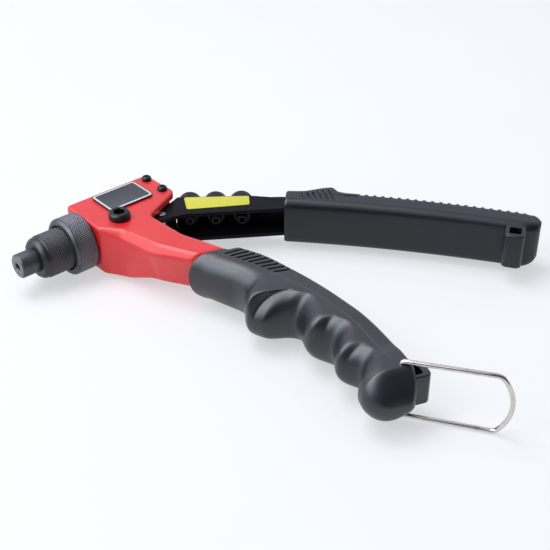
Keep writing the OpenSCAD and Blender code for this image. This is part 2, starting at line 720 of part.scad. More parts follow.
// Bare sticker on the top flange
module lever_sticker() {
    l = 31;
    w = 9;
    a = flange_back - 0.5 * web_nrm + 2.9 * web_dir;
    color("#e8e23a") translate([a[0], a[1], channel_w / 2])
        rotate([0, 0, atan2(web_dir[1], web_dir[0])]) linear_extrude(0.15)
            polygon(rounded([[0, 0, 1.2], [l, 0, 1.2], [l, -w + 1, 1.2], [1.6, -w - 2, 1.2]]));
}

// Handle sleeve over the end of the channel
sleeve_profile = [[0, sleeve_depth - 1.4], [7, sleeve_depth - 0.8],
                  [17.5, sleeve_depth + thumb_rise - 0.8], [20.5, sleeve_depth + thumb_rise],
                  [24, sleeve_depth + 0.9], [28, sleeve_depth + 0.1], [66, sleeve_depth],
                  [sleeve_len, sleeve_depth - 0.4]];
function sleeve_ring(s, w, h, lift, low = 0) = let(c = 3)
    [for (p = [[lift, -h + c], [lift, h - c], [lift + c * 0.3, h - c * 0.3], [lift + c, h],
               [w - 4, h], [w - 1.6, h - 1.2], [w - 0.4, h - 3.4], [w, h - 6],
               [w, -h + 6], [w - 0.4, -h + 3.4], [w - 1.6, -h + 1.2], [w - 4, -h],
               [lift + c, -h], [lift + c * 0.3, -h + c * 0.3]])
        let(q = on_sleeve(s, p[0])) [q[0], q[1], p[1] < 0 ? p[1] + low : p[1]]];

module lever_sleeve() {
    h = sleeve_t / 2;
    lug_s = sleeve_len - 10.5;
    lug_a = 90 - sleeve_angle - lug_s / sleeve_bow_r * 180 / PI;
    stations = [for (s = [0, 4, 8, 12, 16, 18.5, 20.5, 22, 24, 28, 34, 48, 64, 80, 96])
        s * sleeve_len / 117];
    body_rings = [for (s = stations) sleeve_ring(s, blend(sleeve_profile, s), h, 0)];
    tail_rings = [for (t = [30, 50, 70, 84]) let(w = blend(sleeve_profile, sleeve_len))
        sleeve_ring(sleeve_len - 8 + 8 * sin(t), w - 5 * (1 - cos(t)), h - 1.6 * (1 - cos(t)),
                    5 * (1 - cos(t)), 3.6 * (1 - cos(t)))];
    color("#2c2d31") difference() {
        union() {
            loft(concat(body_rings, tail_rings));
            lug(on_sleeve(lug_s, 1), lug_a, lug_top, 10);
        }
        lug_hole(on_sleeve(lug_s, 1), lug_a);
        for (s = [notch_from:notch_pitch:sleeve_len - 6]) notch(s);
        translate([0, 0, -channel_w / 2 - seat_gap]) linear_extrude(channel_w + 2 * seat_gap)
            polygon(sleeve_room);
    }
}

// Shallow notch that wraps round the back of the sleeve
module notch(s) {
    at = on_sleeve(s, 0);
    w = blend(sleeve_profile, s) - notch_depth / 2;
    h = sleeve_t / 2 - notch_depth;
    inner = [[w - 4.4, h], [w - 1.9, h - 1], [w - 0.4, h - 3], [w, h - 6]];
    translate([at[0], at[1], 0]) rotate([0, 0, 90 - sleeve_angle - s / sleeve_bow_r * 180 / PI])
        rotate([90, 0, 0]) linear_extrude(notch_len) polygon(concat(
            [[w - 5, sleeve_t], [w - 5, h]], inner, [for (i = [3:-1:0]) [inner[i][0], -inner[i][1]]],
            [[w - 5, -h], [w - 5, -sleeve_t], [2 * w, -sleeve_t], [2 * w, sleeve_t]]));
}

// Room inside the sleeve for the channel
sleeve_room = [on_sleeve(-3, sleeve_wall - seat_gap),
               each bow([0:4], sleeve_wall - seat_gap),
               on_sleeve(inside_len + seat_gap, sleeve_wall - seat_gap),
               on_sleeve(inside_len + seat_gap, sleeve_wall + channel_depth + seat_gap),
               each bow([4:-1:0], sleeve_wall + channel_depth + seat_gap),
               on_sleeve(-3, sleeve_wall + channel_depth + seat_gap)];

// Lug on the open side of a handle; root is where it leaves the handle and
// the direction a points from the lug into the handle
module lug(root, a, top, deep) {
    low = lug_top - lug_h;
    translate([root[0], root[1], low]) rotate([0, 0, a])
        linear_extrude(top - low) polygon(rounded([
            [0, lug_w / 2, 0], [-deep, lug_w / 2, 2.4], [-deep, -lug_w / 2, 2.4],
            [0, -lug_w / 2, 0]]));
}
module lug_hole(root, a) {
    translate([root[0], root[1], -lug_h]) rotate([0, 0, a])
        linear_extrude(2 * lug_h) polygon(rounded([
            [-2.2, lug_hole_l / 2, 0.8], [-2.2 - lug_hole_w, lug_hole_l / 2, 0.8],
            [-2.2 - lug_hole_w, -lug_hole_l / 2, 0.8], [-2.2, -lug_hole_l / 2, 0.8]]));
}

// Fixed grip: depth of its finger side along its length
grip_profile = [
    [0, finger_depth + 1.4], [12, finger_depth + 1.8], [18, finger_depth + stop_rise * 0.3],
    [27, finger_depth + stop_rise * 0.9], [33, finger_depth + stop_rise * 1.05],
    [38.5, finger_depth + stop_rise * 0.95], [50, finger_depth + 0.4],
    [64.5, finger_depth + ridge_rise + 1.9], [75, finger_depth],
    [87.5, finger_depth + ridge_rise + 1.5], [97, finger_depth - 1], [107.5, finger_depth + 4.6],
    [grip_len, finger_depth + 4.8]];
grip_end_h = bail_gap / 2 - free_gap;
grip_height = [[0, grip_t / 2 - 0.5], [20, grip_t / 2], [70, grip_t / 2], [94, 10.9],
               [102, grip_end_h], [grip_len, grip_end_h]];
// How far the back of the grip stands out behind its bow, near the lip
grip_swell = [[0, 0], [5, 2], [12, 2.2], [34, 0.8], [60, 0.3], [94, 1.5], [grip_len, 1.5]];

// One ring of the grip between its back edge a and its finger edge b
function grip_ring(a, b, h, band) = let(
    w = norm(b - a),
    u = (b - a) / w,
    c = 2,
    upper = concat([[c * 0.3, h - c * 0.3], [c, h], [band, h]],
        [for (t = [15:15:75]) [band + (w - band) * sin(t), h * cos(t)]]),
    lower = [for (i = [len(upper) - 1:-1:0]) [upper[i][0], -upper[i][1]]],
    flat = concat([[0, -h + c], [0, h - c]], upper, [[w, 0]], lower))
    [for (p = flat) [a[0] + p[0] * u[0], a[1] + p[0] * u[1], p[1]]];

module fixed_grip() {
    first = [for (k = [0:2]) let(t = k / 3, s = 12 * t)
        let(a = on_grip(s, -blend(grip_swell, s)) * (k > 0 ? 1 : 0) + lip_in * (k > 0 ? 0 : 1),
            b = lip_out * (1 - t) + on_grip(12, blend(grip_profile, 12)) * t)
        grip_ring(a, b, blend(grip_height, s), grip_band_w)];
    middle = [for (s = [12, 17, 21, 25, 29, 33, 36.5, 40, 44, 50, 55, 60, 64.5, 69, 75, 81, 87.5,
                        92, 97, 100, 104, grip_len - 10])
        grip_ring(on_grip(s, -blend(grip_swell, s)), on_grip(s, blend(grip_profile, s)),
                  blend(grip_height, s), grip_band_w - 2.5 * s / grip_len)];
    end = [for (t = [30, 50, 68, 84])
        let(s = grip_len - 10 + 10 * sin(t), k = 1 - cos(t))
        grip_ring(on_grip(s, 5 * k - 1.5), on_grip(s, finger_depth + 4.8 - 10 * k),
                  grip_end_h - 7 * k, 5 - 2.5 * k)];
    lug_s = grip_len - bail_back + 1;
    lug_a = grip_a0 - lug_s / grip_bow_r * 180 / PI + 180;
    color("#2c2d31") difference() {
        union() {
            loft(concat(first, middle, end), true);
            lug(on_grip(lug_s, 2), lug_a, grip_lug_top, 10);
        }
        lug_hole(on_grip(lug_s, 0.6), lug_a);
        tang(seat_gap);
        translate([bail_pivot[0], bail_pivot[1], -grip_t])
            cylinder(d = bail_wire_d + 2 * run_gap, h = 2 * grip_t, $fn = fine);
    }
}

// Wire bail: two legs, a bow, and ends turned into the grip
module bail() {
    z = bail_gap / 2 + bail_wire_d / 2;
    bow_x = bail_len - bail_wire_d / 2 - bail_bow_r;
    half = asin(z / bail_bow_r);
    corner_x = bow_x + bail_bow_r * cos(half);
    color("#cfcfd2") translate([bail_pivot[0], bail_pivot[1], 0]) rotate([0, 0, bail_angle]) {
        for (side = [-1, 1]) {
            translate([0, 0, side * z]) rotate([0, 90, 0])
                cylinder(d = bail_wire_d, h = corner_x, $fn = fine);
            translate([0, 0, side > 0 ? z - bail_end_len : -z])
                cylinder(d = bail_wire_d, h = bail_end_len, $fn = fine);
            translate([0, 0, side * z]) sphere(d = bail_wire_d, $fn = fine);
            translate([corner_x, 0, side * z]) sphere(d = bail_wire_d, $fn = fine);
        }
        translate([bow_x, 0, 0]) rotate([90, 0, 0]) rotate([0, 0, -half])
            rotate_extrude(angle = 2 * half, $fn = 96) translate([bail_bow_r, 0])
                circle(d = bail_wire_d, $fn = fine);
    }
}

body_casting();
nose_housing();
lock_ring();
nosepiece();
jaw_case();
pull_tube();
jaw_left();
jaw_right();
jaw_top();
jaw_pusher();
jaw_spring();
return_spring();
rear_block();
rear_screws();
pivot_bolt();
pivot_bush();
pivot_nut();
side_plate();
lever_channel();
tie_pin();
lever_sticker();
lever_sleeve();
spare_nose_small();
spare_nose_medium();
spare_nose_large();
fixed_grip();
bail();
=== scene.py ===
"""Looks of a hand lever riveter that lies on its side on a pale table.

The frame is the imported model: X runs back along the nose axis, both handles leave towards
-Y, and Z is up. Lengths in the mesh code are millimetres, and meshes are made in metres.
"""
import functools
import json
import math

import bmesh
import bpy
from bpy.props import FloatProperty, FloatVectorProperty, IntProperty, PointerProperty
from bpy.types import Operator, Panel, PropertyGroup
from mathutils import Matrix, Vector


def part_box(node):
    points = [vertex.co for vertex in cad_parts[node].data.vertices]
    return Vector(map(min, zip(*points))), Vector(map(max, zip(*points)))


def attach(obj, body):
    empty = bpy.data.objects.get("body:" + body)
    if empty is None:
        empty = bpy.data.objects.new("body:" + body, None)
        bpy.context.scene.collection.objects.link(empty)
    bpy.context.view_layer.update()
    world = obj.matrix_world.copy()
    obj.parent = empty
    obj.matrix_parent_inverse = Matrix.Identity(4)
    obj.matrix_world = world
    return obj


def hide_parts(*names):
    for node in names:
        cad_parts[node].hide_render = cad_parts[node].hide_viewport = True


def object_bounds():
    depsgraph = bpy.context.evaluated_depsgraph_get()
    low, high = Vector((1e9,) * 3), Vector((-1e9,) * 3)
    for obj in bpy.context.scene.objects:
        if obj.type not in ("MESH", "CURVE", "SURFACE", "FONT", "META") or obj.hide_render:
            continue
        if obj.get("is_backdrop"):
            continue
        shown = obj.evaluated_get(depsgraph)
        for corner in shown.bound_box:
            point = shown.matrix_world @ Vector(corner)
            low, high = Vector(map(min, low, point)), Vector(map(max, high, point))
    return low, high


bl_info = {
    "name": "Hand lever riveter",
    "version": (1, 0, 0),
    "blender": (4, 5, 0),
    "location": "3D View > Sidebar > Riveter",
    "description": "Pieces, finishes and stage of the packed riveter",
    "category": "Object",
}

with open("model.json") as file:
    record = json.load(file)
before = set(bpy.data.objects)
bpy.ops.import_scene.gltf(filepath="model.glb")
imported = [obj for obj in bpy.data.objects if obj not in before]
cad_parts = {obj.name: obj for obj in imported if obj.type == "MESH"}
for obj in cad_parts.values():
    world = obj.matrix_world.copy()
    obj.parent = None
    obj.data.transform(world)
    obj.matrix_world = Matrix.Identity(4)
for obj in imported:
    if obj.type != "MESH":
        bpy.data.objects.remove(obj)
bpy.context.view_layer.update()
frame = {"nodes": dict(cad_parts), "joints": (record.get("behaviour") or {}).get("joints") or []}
MM = 0.001


def joint_place(name):
    """Where a joint's axis passes, in millimetres."""
    found = next(j for j in frame["joints"] if j["name"] == name)
    return Vector(found["pos_m"]) / MM


def node_box(name):
    """Lowest and highest corner of a node, in millimetres."""
    low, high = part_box(name)
    return low / MM, high / MM


PIVOT = joint_place("handle_squeeze")
BAIL_PIVOT = joint_place("bail_swing")
HEAD_LEN = node_box("nose_housing")[0].x


# Settings that a user would change

COLOUR = {"subtype": "COLOR", "size": 3, "min": 0, "max": 1}


class RiveterSizes(PropertyGroup):
    """Sizes of the moulded, rolled and cast details."""
    knurl_pitch: FloatProperty(
        name="Knurl pitch", description="Distance between two diamonds",
        default=0.00108, min=0.0006, max=0.002, unit="LENGTH")
    knurl_depth: FloatProperty(
        name="Knurl depth", description="Height of the diamonds",
        default=0.0003, min=0.0001, max=0.0004, unit="LENGTH")
    cast_round: IntProperty(
        name="Casting rounding", description="How many passes soften the casting",
        default=6, min=0, max=20)
    arm_round: IntProperty(
        name="Arm rounding", description="How many more passes soften the casting's arm",
        default=15, min=0, max=120)
    slot_depth: FloatProperty(
        name="Slot depth", description="Depth of the slots in both handles",
        default=0.0012, min=0.0003, max=0.0016, unit="LENGTH")
    crease_depth: FloatProperty(
        name="Crease depth", description="Depth of the line beside the grip's spine",
        default=0.00012, min=0.00005, max=0.001, unit="LENGTH")
    edge_round: FloatProperty(
        name="Edge rounding", description="Rounding of the pressed and turned edges",
        default=0.00035, min=0.0001, max=0.0008, unit="LENGTH")


class RiveterColours(PropertyGroup):
    """Colours of the finishes."""
    paint: FloatVectorProperty(
        name="Paint", description="Red of the cast body",
        default=(0.86, 0.029, 0.032), **COLOUR)
    rubber: FloatVectorProperty(
        name="Grip", description="Charcoal of the fixed grip",
        default=(0.010, 0.0105, 0.018), **COLOUR)
    sleeve: FloatVectorProperty(
        name="Sleeve", description="Charcoal of the handle sleeve",
        default=(0.005, 0.005, 0.012), **COLOUR)
    phosphate: FloatVectorProperty(
        name="Phosphated steel", description="Dark grey of the nose",
        default=(0.085, 0.085, 0.094), **COLOUR)
    sticker: FloatVectorProperty(
        name="Sticker", description="Yellow of the bare sticker",
        default=(0.80, 0.78, 0.09), **COLOUR)
    floor: FloatVectorProperty(
        name="Floor", description="Colour of the table",
        default=(0.90, 0.92, 0.97), **COLOUR)


def sizes():
    return bpy.context.scene.riveter_sizes


def colours():
    return bpy.context.scene.riveter_colours


# Shader expressions

class Value:
    """A socket that takes part in expressions, each of which adds its node."""

    def __init__(self, tree, socket):
        self.tree = tree
        self.socket = socket

    def math(self, operation, other):
        return self.tree.node("Math", {0: self, 1: other}, operation=operation)

    def __add__(self, other):
        return self.math("ADD", other)

    def __mul__(self, other):
        return self.math("MULTIPLY", other)

    __radd__ = __add__
    __rmul__ = __mul__

    def over(self, edge, width):
        """0 below the edge and 1 above it, with a soft step of that width."""
        return self.tree.node("MapRange", {
            "Value": self, "From Min": edge - width / 2, "From Max": edge + width / 2}, "Result",
            interpolation_type="SMOOTHSTEP")


class Shading:
    """The node tree of a material or a world."""

    def __init__(self, owner, output):
        owner.use_nodes = True
        self.tree = owner.node_tree
        self.tree.nodes.clear()
        self.surface = self.tree.nodes.new(output).inputs["Surface"]

    def feed(self, socket, value):
        """Gives a socket a constant, or links it to a value."""
        if isinstance(value, Value):
            self.tree.links.new(value.socket, socket)
        else:
            socket.default_value = value

    def node(self, kind, inputs=None, output=0, **settings):
        """Any shader node: its settings are set first, then its sockets."""
        node = self.tree.nodes.new("ShaderNode" + kind)
        for key, value in settings.items():
            setattr(node, key, value)
        for key, value in (inputs or {}).items():
            self.feed(node.inputs[key], value)
        return Value(self, node.outputs[output])

    def mix(self, factor, first, second):
        """Colour between two colours."""
        return self.node("Mix", {0: factor, 6: first, 7: second}, 2, data_type="RGBA")

    def mixed_surface(self, factor, first, second):
        """Shows a mix of two shaders."""
        self.feed(self.surface, self.node("MixShader", {0: factor, 1: first, 2: second}))

    def ray(self, kind):
        return self.node("LightPath", output=kind)

    def seen(self):
        """1 for what the camera sees directly, in gloss or through glass."""
        rays = self.ray("Is Camera Ray").math("MAXIMUM", self.ray("Is Glossy Ray"))
        return rays.math("MAXIMUM", self.ray("Is Transmission Ray"))

    def facing(self, way):
        """How far a world direction points one way: 1 straight there, 0 square to it."""
        around = self.node("TexCoord", output="Generated")
        return self.node("VectorMath", {0: around, 1: way}, "Value", operation="DOT_PRODUCT")


class Finish(Shading):
    """A material with one Principled shader."""

    def __init__(self, name, colour, roughness, metallic=0.0, specular=0.5):
        self.material = bpy.data.materials.new(name)
        super().__init__(self.material, "ShaderNodeOutputMaterial")
        self.colour = tuple(colour) + (1.0,)
        self.shader = self.node("BsdfPrincipled", {
            "Base Color": self.colour, "Roughness": roughness, "Metallic": metallic,
            "Specular IOR Level": specular})
        self.feed(self.surface, self.shader)
        self.coords = self.node("TexCoord", output="Object")
        self.material.diffuse_color = self.colour

    def set(self, socket, value):
        self.feed(self.shader.socket.node.inputs[socket], value)

    def noise(self, size_mm, detail=2.0, rough=0.5, stretch=None):
        """Soft noise around 0.5, with spots of about that size, stretched along the axes."""
        coords = self.coords
        if stretch:
            coords = self.node("Mapping", {"Vector": coords, "Scale": stretch},
                               vector_type="TEXTURE")
        return self.node("TexNoise", {
            "Vector": coords, "Scale": 1.0 / (size_mm * MM), "Detail": detail,
            "Roughness": rough}, "Fac")

    def cells(self, size_mm):
        return self.node("TexVoronoi", {
            "Vector": self.coords, "Scale": 1.0 / (size_mm * MM)}, "Distance")

    def vary(self, amount, size_mm):
        """The finish's colour, a little lighter and darker in slow patches."""
        return self.mix(self.noise(size_mm, 3.0).over(0.5, 0.4), shade(self.colour, 1 - amount),
                        shade(self.colour, 1 + amount))

    def dressed(self, colour, roughness, height, depth_mm, strength=0.4):
        """The material, with its colour and roughness and a bump from a height."""
        self.set("Base Color", colour)
        self.set("Roughness", roughness)
        self.set("Normal", self.node("Bump", {
            "Strength": strength, "Distance": depth_mm * MM, "Height": height}))
        return self.material


def shade(colour, factor):
    return tuple(min(1.0, c * factor) for c in colour[:3]) + (1.0,)


def red_paint(name):
    paint = colours().paint
    finish = Finish(name, paint, 0.3)
    finish.set("Coat Weight", 0.25)
    finish.set("Coat Roughness", 0.12)
    peel, fine, wear = finish.noise(2.2), finish.noise(0.5, 1.0), finish.noise(9.0, 4.0, 0.6)
    tint = finish.mix(wear.over(0.62, 0.3) * 0.35, finish.vary(0.06, 18.0), shade(paint, 0.82))
    return finish.dressed(tint, 0.27 + 0.1 * wear + 0.04 * fine, peel * 0.8 + fine * 0.2,
                          0.05, 0.35)


def phosphated(name, factor):
    """Dark phosphated steel; rubbed knurl tips with painted highlight, painted shade in grooves.
    """
    colour = shade(colours().phosphate, factor)[:3]
    finish = Finish(name, colour, 0.4, 0.8)
    grain, cloud = finish.noise(0.35, 3.0, 0.7), finish.noise(5.0, 4.0, 0.6)
    tip = finish.node("Attribute", None, "Fac", attribute_name="knurl")
    base = finish.mix(cloud.over(0.5, 0.5) * 0.8 + grain * 0.2, shade(colour, 0.75),
                      shade(colour, 1.4))
    # Knurl tips five times lighter: rubbed bare, and a painted highlight
    worn = finish.mix(tip.over(0.55, 0.9), base, shade(colour, 5.0))
    # Knurl grooves darkened to a sixth of the colour: painted shade
    tint = finish.mix((tip * -1.0).over(0.5, 0.9), worn, shade(colour, 0.16))
    return finish.dressed(tint, 0.32 + 0.16 * cloud + 0.08 * grain, grain, 0.02)


def even_finish(name, colour, roughness, patches, grain, rough, bump, metallic=1.0, specular=0.5):
    """A finish with one grain for its roughness and its bump.

    patches: amount and size. grain: what noise() or cells() takes. rough: the least roughness
    and the grain's share. bump: depth and strength.
    """
    finish = Finish(name, colour, roughness, metallic, specular)
    fine = finish.noise(*grain) if len(grain) > 1 else finish.cells(*grain)
    return finish.dressed(finish.vary(*patches), rough[0] + rough[1] * fine, fine, *bump)


def plate_finish(name, colour, roughness, depth):
    return even_finish(name, colour, roughness, (0.05, 7.0), (0.35, 2.0, 0.5, (8.0, 1.0, 1.0)),
                       (roughness, 0.1), (depth, 0.3), 0.0, 0.4)


def black_screw(name):
    finish = Finish(name, (0.014, 0.014, 0.016), 0.34, 0.55, 0.6)
    grain, worn = finish.noise(0.4, 3.0, 0.6), finish.noise(1.6, 3.0, 0.6)
    tint = finish.mix(worn.over(0.66, 0.2) * 0.6, (0.012, 0.012, 0.014, 1),
                      (0.055, 0.055, 0.058, 1))
    return finish.dressed(tint, 0.28 + 0.16 * grain, grain, 0.015)


def black_paint(name):
    finish = Finish(name, (0.008, 0.008, 0.011), 0.3, 0.0, 0.06)
    peel, dust = finish.noise(1.8), finish.noise(6.0, 5.0, 0.7)
    tint = finish.mix(dust.over(0.6, 0.3) * 0.5, (0.007, 0.007, 0.010, 1),
                      (0.018, 0.018, 0.022, 1))
    return finish.dressed(tint, 0.26 + 0.16 * dust, peel, 0.04, 0.35)


def sticker_film(name):
    finish = Finish(name, colours().sticker, 0.38, 0.0, 0.35)
    weave, fade = finish.noise(0.6), finish.noise(11.0, 3.0)
    tint = finish.mix(fade.over(0.5, 0.6) * 0.5, finish.colour, shade(finish.colour, 0.88))
    return finish.dressed(tint, 0.34 + 0.1 * weave, weave, 0.015)


def moulded(name, colour, roughness, specular):
    """Moulded rubber or plastic with a fine spark-eroded grain."""
    colour = getattr(colours(), colour)
    finish = Finish(name, colour, roughness, 0.0, specular)
    grain, fine, bloom = finish.cells(0.45), finish.noise(0.315), finish.noise(14.0, 4.0, 0.6)
    tint = finish.mix(bloom.over(0.52, 0.5), shade(colour, 0.86), shade(colour, 1.2))
    return finish.dressed(tint, roughness - 0.05 + 0.12 * bloom + 0.05 * fine,
                          grain * 0.6 + fine * 0.4, 0.035, 0.35)


def nickel_wire(name):
    finish = Finish(name, (0.62, 0.58, 0.54), 0.12, 1.0)
    drawn, spots = finish.noise(0.3, 2.0, 0.5, (6.0, 6.0, 1.0)), finish.noise(4.0, 4.0, 0.6)
    tint = finish.mix(spots.over(0.58, 0.3) * 0.7, (0.66, 0.63, 0.60, 1), (0.46, 0.38, 0.33, 1))
    return finish.dressed(tint, 0.08 + 0.12 * spots, drawn, 0.01, 0.25)


# Each finish by its name: the function that makes it, and what that takes after the name
FINISHES = {
    "red_paint": (red_paint,),
    "phosphate_steel": (phosphated, 1.0),
    "housing_steel": (phosphated, 0.55),
    # Spare nosepieces sit in the channel: phosphate darkened to a fifth, painted shade
    "spare_steel": (phosphated, 0.2),
    "ground_face": (even_finish, (0.2, 0.2, 0.21), 0.36, (0.3, 1.2), (0.2, 3.0, 0.7), (0.3, 0.2),
                    (0.02,)),
    "bright_steel": (even_finish, (0.52, 0.52, 0.53), 0.28, (0.12, 3.0),
                     (0.25, 2.0, 0.5, (0.1, 1.0, 1.0)), (0.22, 0.18), (0.01,)),
    "bush_bronze": (even_finish, (0.42, 0.27, 0.1), 0.4, (0.15, 2.0), (0.5,), (0.34, 0.2),
                    (0.02,)),
    "spring_wire": (even_finish, (0.46, 0.46, 0.47), 0.3, (0.1, 2.0), (0.3, 2.0), (0.26, 0.14),
                    (0.01, 0.3)),
    "plate_field": (plate_finish, (0.05, 0.054, 0.070), 0.34, 0.01),
    "plate_rim": (plate_finish, (0.012, 0.012, 0.014), 0.34, 0.01),
    "plate_line": (plate_finish, (0.80, 0.80, 0.80), 0.4, 0.005),
    "black_screw": (black_screw,),
    "black_paint": (black_paint,),
    "sticker_film": (sticker_film,),
    "grip_rubber": (moulded, "rubber", 0.34, 0.68),
    "sleeve_plastic": (moulded, "sleeve", 0.36, 0.5),
    "nickel_wire": (nickel_wire,),
}


@functools.cache
def finish_of(name):
    """A finish's material, made once."""
    make, *details = FINISHES[name]
    return make(name, *details)


# Mesh helpers

def linked(name, data):
    """A new object in the scene."""
    made = bpy.data.objects.new(name, data)
    bpy.context.scene.collection.objects.link(made)
    return made


def as_object(bm, name):
    """An object with the mesh, which is freed."""
    mesh = bpy.data.meshes.new(name)
    bm.to_mesh(mesh)
    bm.free()
    return linked(name, mesh)


def placed(bm, name, slots, body, replaces=(), sharp=35.0):
    """A finished mesh as a piece that rides on a body, with a material for each of its slots."""
    for v in bm.verts:
        v.co *= MM
    piece = as_object(bm, name)
    mesh = piece.data
    for slot in slots:
        mesh.materials.append(finish_of(slot))
    mesh.shade_smooth()
    mesh.set_sharp_from_angle(angle=math.radians(sharp))
    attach(piece, body)
    if replaces:
        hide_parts(*replaces)
    return piece


def even_shading(piece):
    """Keeps flat faces flat beside their rounded edges."""
    modifier = piece.modifiers.new("Even shading", "WEIGHTED_NORMAL")
    modifier.keep_sharp = True
    modifier.weight = 80


def modified(bm, kind, tool=None, **settings):
    """The mesh after a modifier, which may work with a second mesh; both are freed."""
    made = [as_object(mesh, "temporary") for mesh in (bm, tool) if mesh is not None]
    modifier = made[0].modifiers.new(kind, kind)
    if tool is not None:
        modifier.object = made[1]
    for key, value in settings.items():
        setattr(modifier, key, value)
    bpy.context.view_layer.update()
    graph = bpy.context.evaluated_depsgraph_get()
    mesh = bpy.data.meshes.new_from_object(made[0].evaluated_get(graph))
    out = bmesh.new()
    out.from_mesh(mesh)
    for item in made:
        bpy.data.meshes.remove(item.data)
    bpy.data.meshes.remove(mesh)
    return out


def cut(whole, tool):
    """The first mesh without the second."""
    return modified(whole, "BOOLEAN", tool, operation="DIFFERENCE", solver="EXACT")


def softened(bm, passes, verts):
    for _ in range(passes):
        bmesh.ops.smooth_vert(bm, verts=verts, factor=0.5, use_axis_x=True, use_axis_y=True,
                              use_axis_z=True)


def node_mesh(name):
    """A merged copy of a node's mesh in millimetres, with its flat faces joined."""
    bm = bmesh.new()
    bm.from_mesh(frame["nodes"][name].data)
    for v in bm.verts:
        v.co /= MM
    bmesh.ops.remove_doubles(bm, verts=bm.verts, dist=0.002)
    bmesh.ops.dissolve_limit(bm, angle_limit=math.radians(0.6), verts=bm.verts, edges=bm.edges)
    return bm


def dress_node(name, finish):
    """Gives a node's own mesh a finish."""
    node = frame["nodes"][name]
    if not node.material_slots:
        node.data.materials.append(finish_of(finish))
    for slot in node.material_slots:
        slot.material = finish_of(finish)


def bevelled(bm, geom, width, segments, affect="EDGES"):
    bmesh.ops.bevel(bm, geom=geom, offset=width, segments=segments, profile=0.5,
                    affect=affect, clamp_overlap=True, material=-1)


def rounded_edges(bm, width, segments, angle):
    """Rounds the outward edges of a mesh that are sharper than the angle."""
    bevelled(bm, [e for e in bm.edges if len(e.link_faces) == 2
                  and e.calc_face_angle_signed(0) > math.radians(angle)], width, segments)


def block(size, centre):
    bm = bmesh.new()
    place = Matrix.Translation(centre) @ Matrix.Diagonal((*size, 1.0))
    bmesh.ops.create_cube(bm, size=1.0, matrix=place)
    return bm


def spun(profile, steps):
    """A shape turned about the nose axis from the [x, radius] corners of a closed profile."""
    bm = bmesh.new()
    verts = [bm.verts.new((x, r, 0.0)) for x, r in profile]
    edges = [bm.edges.new((v, verts[(i + 1) % len(verts)])) for i, v in enumerate(verts)]
    bmesh.ops.spin(bm, geom=verts + edges, axis=(1, 0, 0), angle=2 * math.pi, steps=steps,
                   use_merge=True)
    bmesh.ops.remove_doubles(bm, verts=bm.verts, dist=0.0005)
    bmesh.ops.recalc_face_normals(bm, faces=bm.faces)
    return bm


def quarter(*shares):
    """Sine and cosine at shares of a right angle."""
    return [(math.sin(math.pi / 2 * t), math.cos(math.pi / 2 * t)) for t in shares]


def soft_bend(a, corner, b, places):
    """Points of a soft bend from a round the corner to b, at places from 0 to 1."""
    return [a.lerp(corner, t).lerp(corner.lerp(b, t), t) for t in places]


def on_bow(centre, radius, angle):
    """A place in plan on a bow."""
    return centre + radius * Vector((math.cos(angle), math.sin(angle)))


def soft_corners(corners):
    """The profile through [x, radius, size] corners, each rounded over its size."""
    out = []
    for i, (x, r, size) in enumerate(corners):
        here = Vector((x, r))
        before = Vector(corners[i - 1][:2]) - here
        after = Vector(corners[(i + 1) % len(corners)][:2]) - here
        size = min(size, before.length * 0.45, after.length * 0.45)
        a = here + before.normalized() * size
        b = here + after.normalized() * size
        out += soft_bend(a, here, b, (0.0, 0.33, 0.67, 1.0))
    return out


def loft(rings):
    """Skin through rings of points, closed at both ends: each ring is drawn out of the last."""
    bm = bmesh.new()
    loop = [bm.verts.new(p) for p in rings[0]]
    start = edges = [bm.edges.new((v, loop[(i + 1) % len(loop)])) for i, v in enumerate(loop)]
    for ring in rings[1:]:
        made = bmesh.ops.extrude_edge_only(bm, edges=edges)["geom"]
        edges = [g for g in made if isinstance(g, bmesh.types.BMEdge) and len(g.link_faces) == 1]
        fresh = {g for g in made if isinstance(g, bmesh.types.BMVert)}
        loop = [next(e.other_vert(v) for e in v.link_edges if e.other_vert(v) in fresh)
                for v in loop]
        for v, point in zip(loop, ring):
            v.co = point
    bmesh.ops.holes_fill(bm, edges=start + edges, sides=0)
    bmesh.ops.recalc_face_normals(bm, faces=bm.faces)
    return bm


def smooth_step(t):
    t = min(1.0, max(0.0, t))
    return t * t * (3 - 2 * t)


def slope_at(table, k):
    """Slope of the smooth curve at a listed station, level at its ends and turning points."""
    if k == 0 or k == len(table) - 1:
        return 0.0
    (s0, v0), (s1, v1), (s2, v2) = table[k - 1:k + 2]
    before = (v1 - v0) / (s1 - s0)
    after = (v2 - v1) / (s2 - s1)
    return 2 * before * after / (before + after) if before * after > 0 else 0.0


def between(table, s):
    """Smooth value between listed stations (s, value)."""
    if s <= table[0][0]:
        return table[0][1]
    for k, ((s0, v0), (s1, v1)) in enumerate(zip(table, table[1:])):
        if s <= s1:
            step = s1 - s0
            t = (s - s0) / step
            bend = t * (1 - t) * step * (slope_at(table, k) * (1 - t) - slope_at(table, k + 1) * t)
            return v0 + (v1 - v0) * t * t * (3 - 2 * t) + bend
    return table[-1][1]


def on_band(bm, x0, x1, radius):
    """The vertices of a band of a turned shape, with their angles round the axis."""
    for v in bm.verts:
        if x0 < v.co.x < x1 and abs(math.hypot(v.co.y, v.co.z) - radius) < 0.05:
            yield v, math.atan2(v.co.z, v.co.y)


def raised(v, height, radius):
    """Moves a vertex of a turned shape outwards."""
    v.co.y *= 1 + height / radius
    v.co.z *= 1 + height / radius


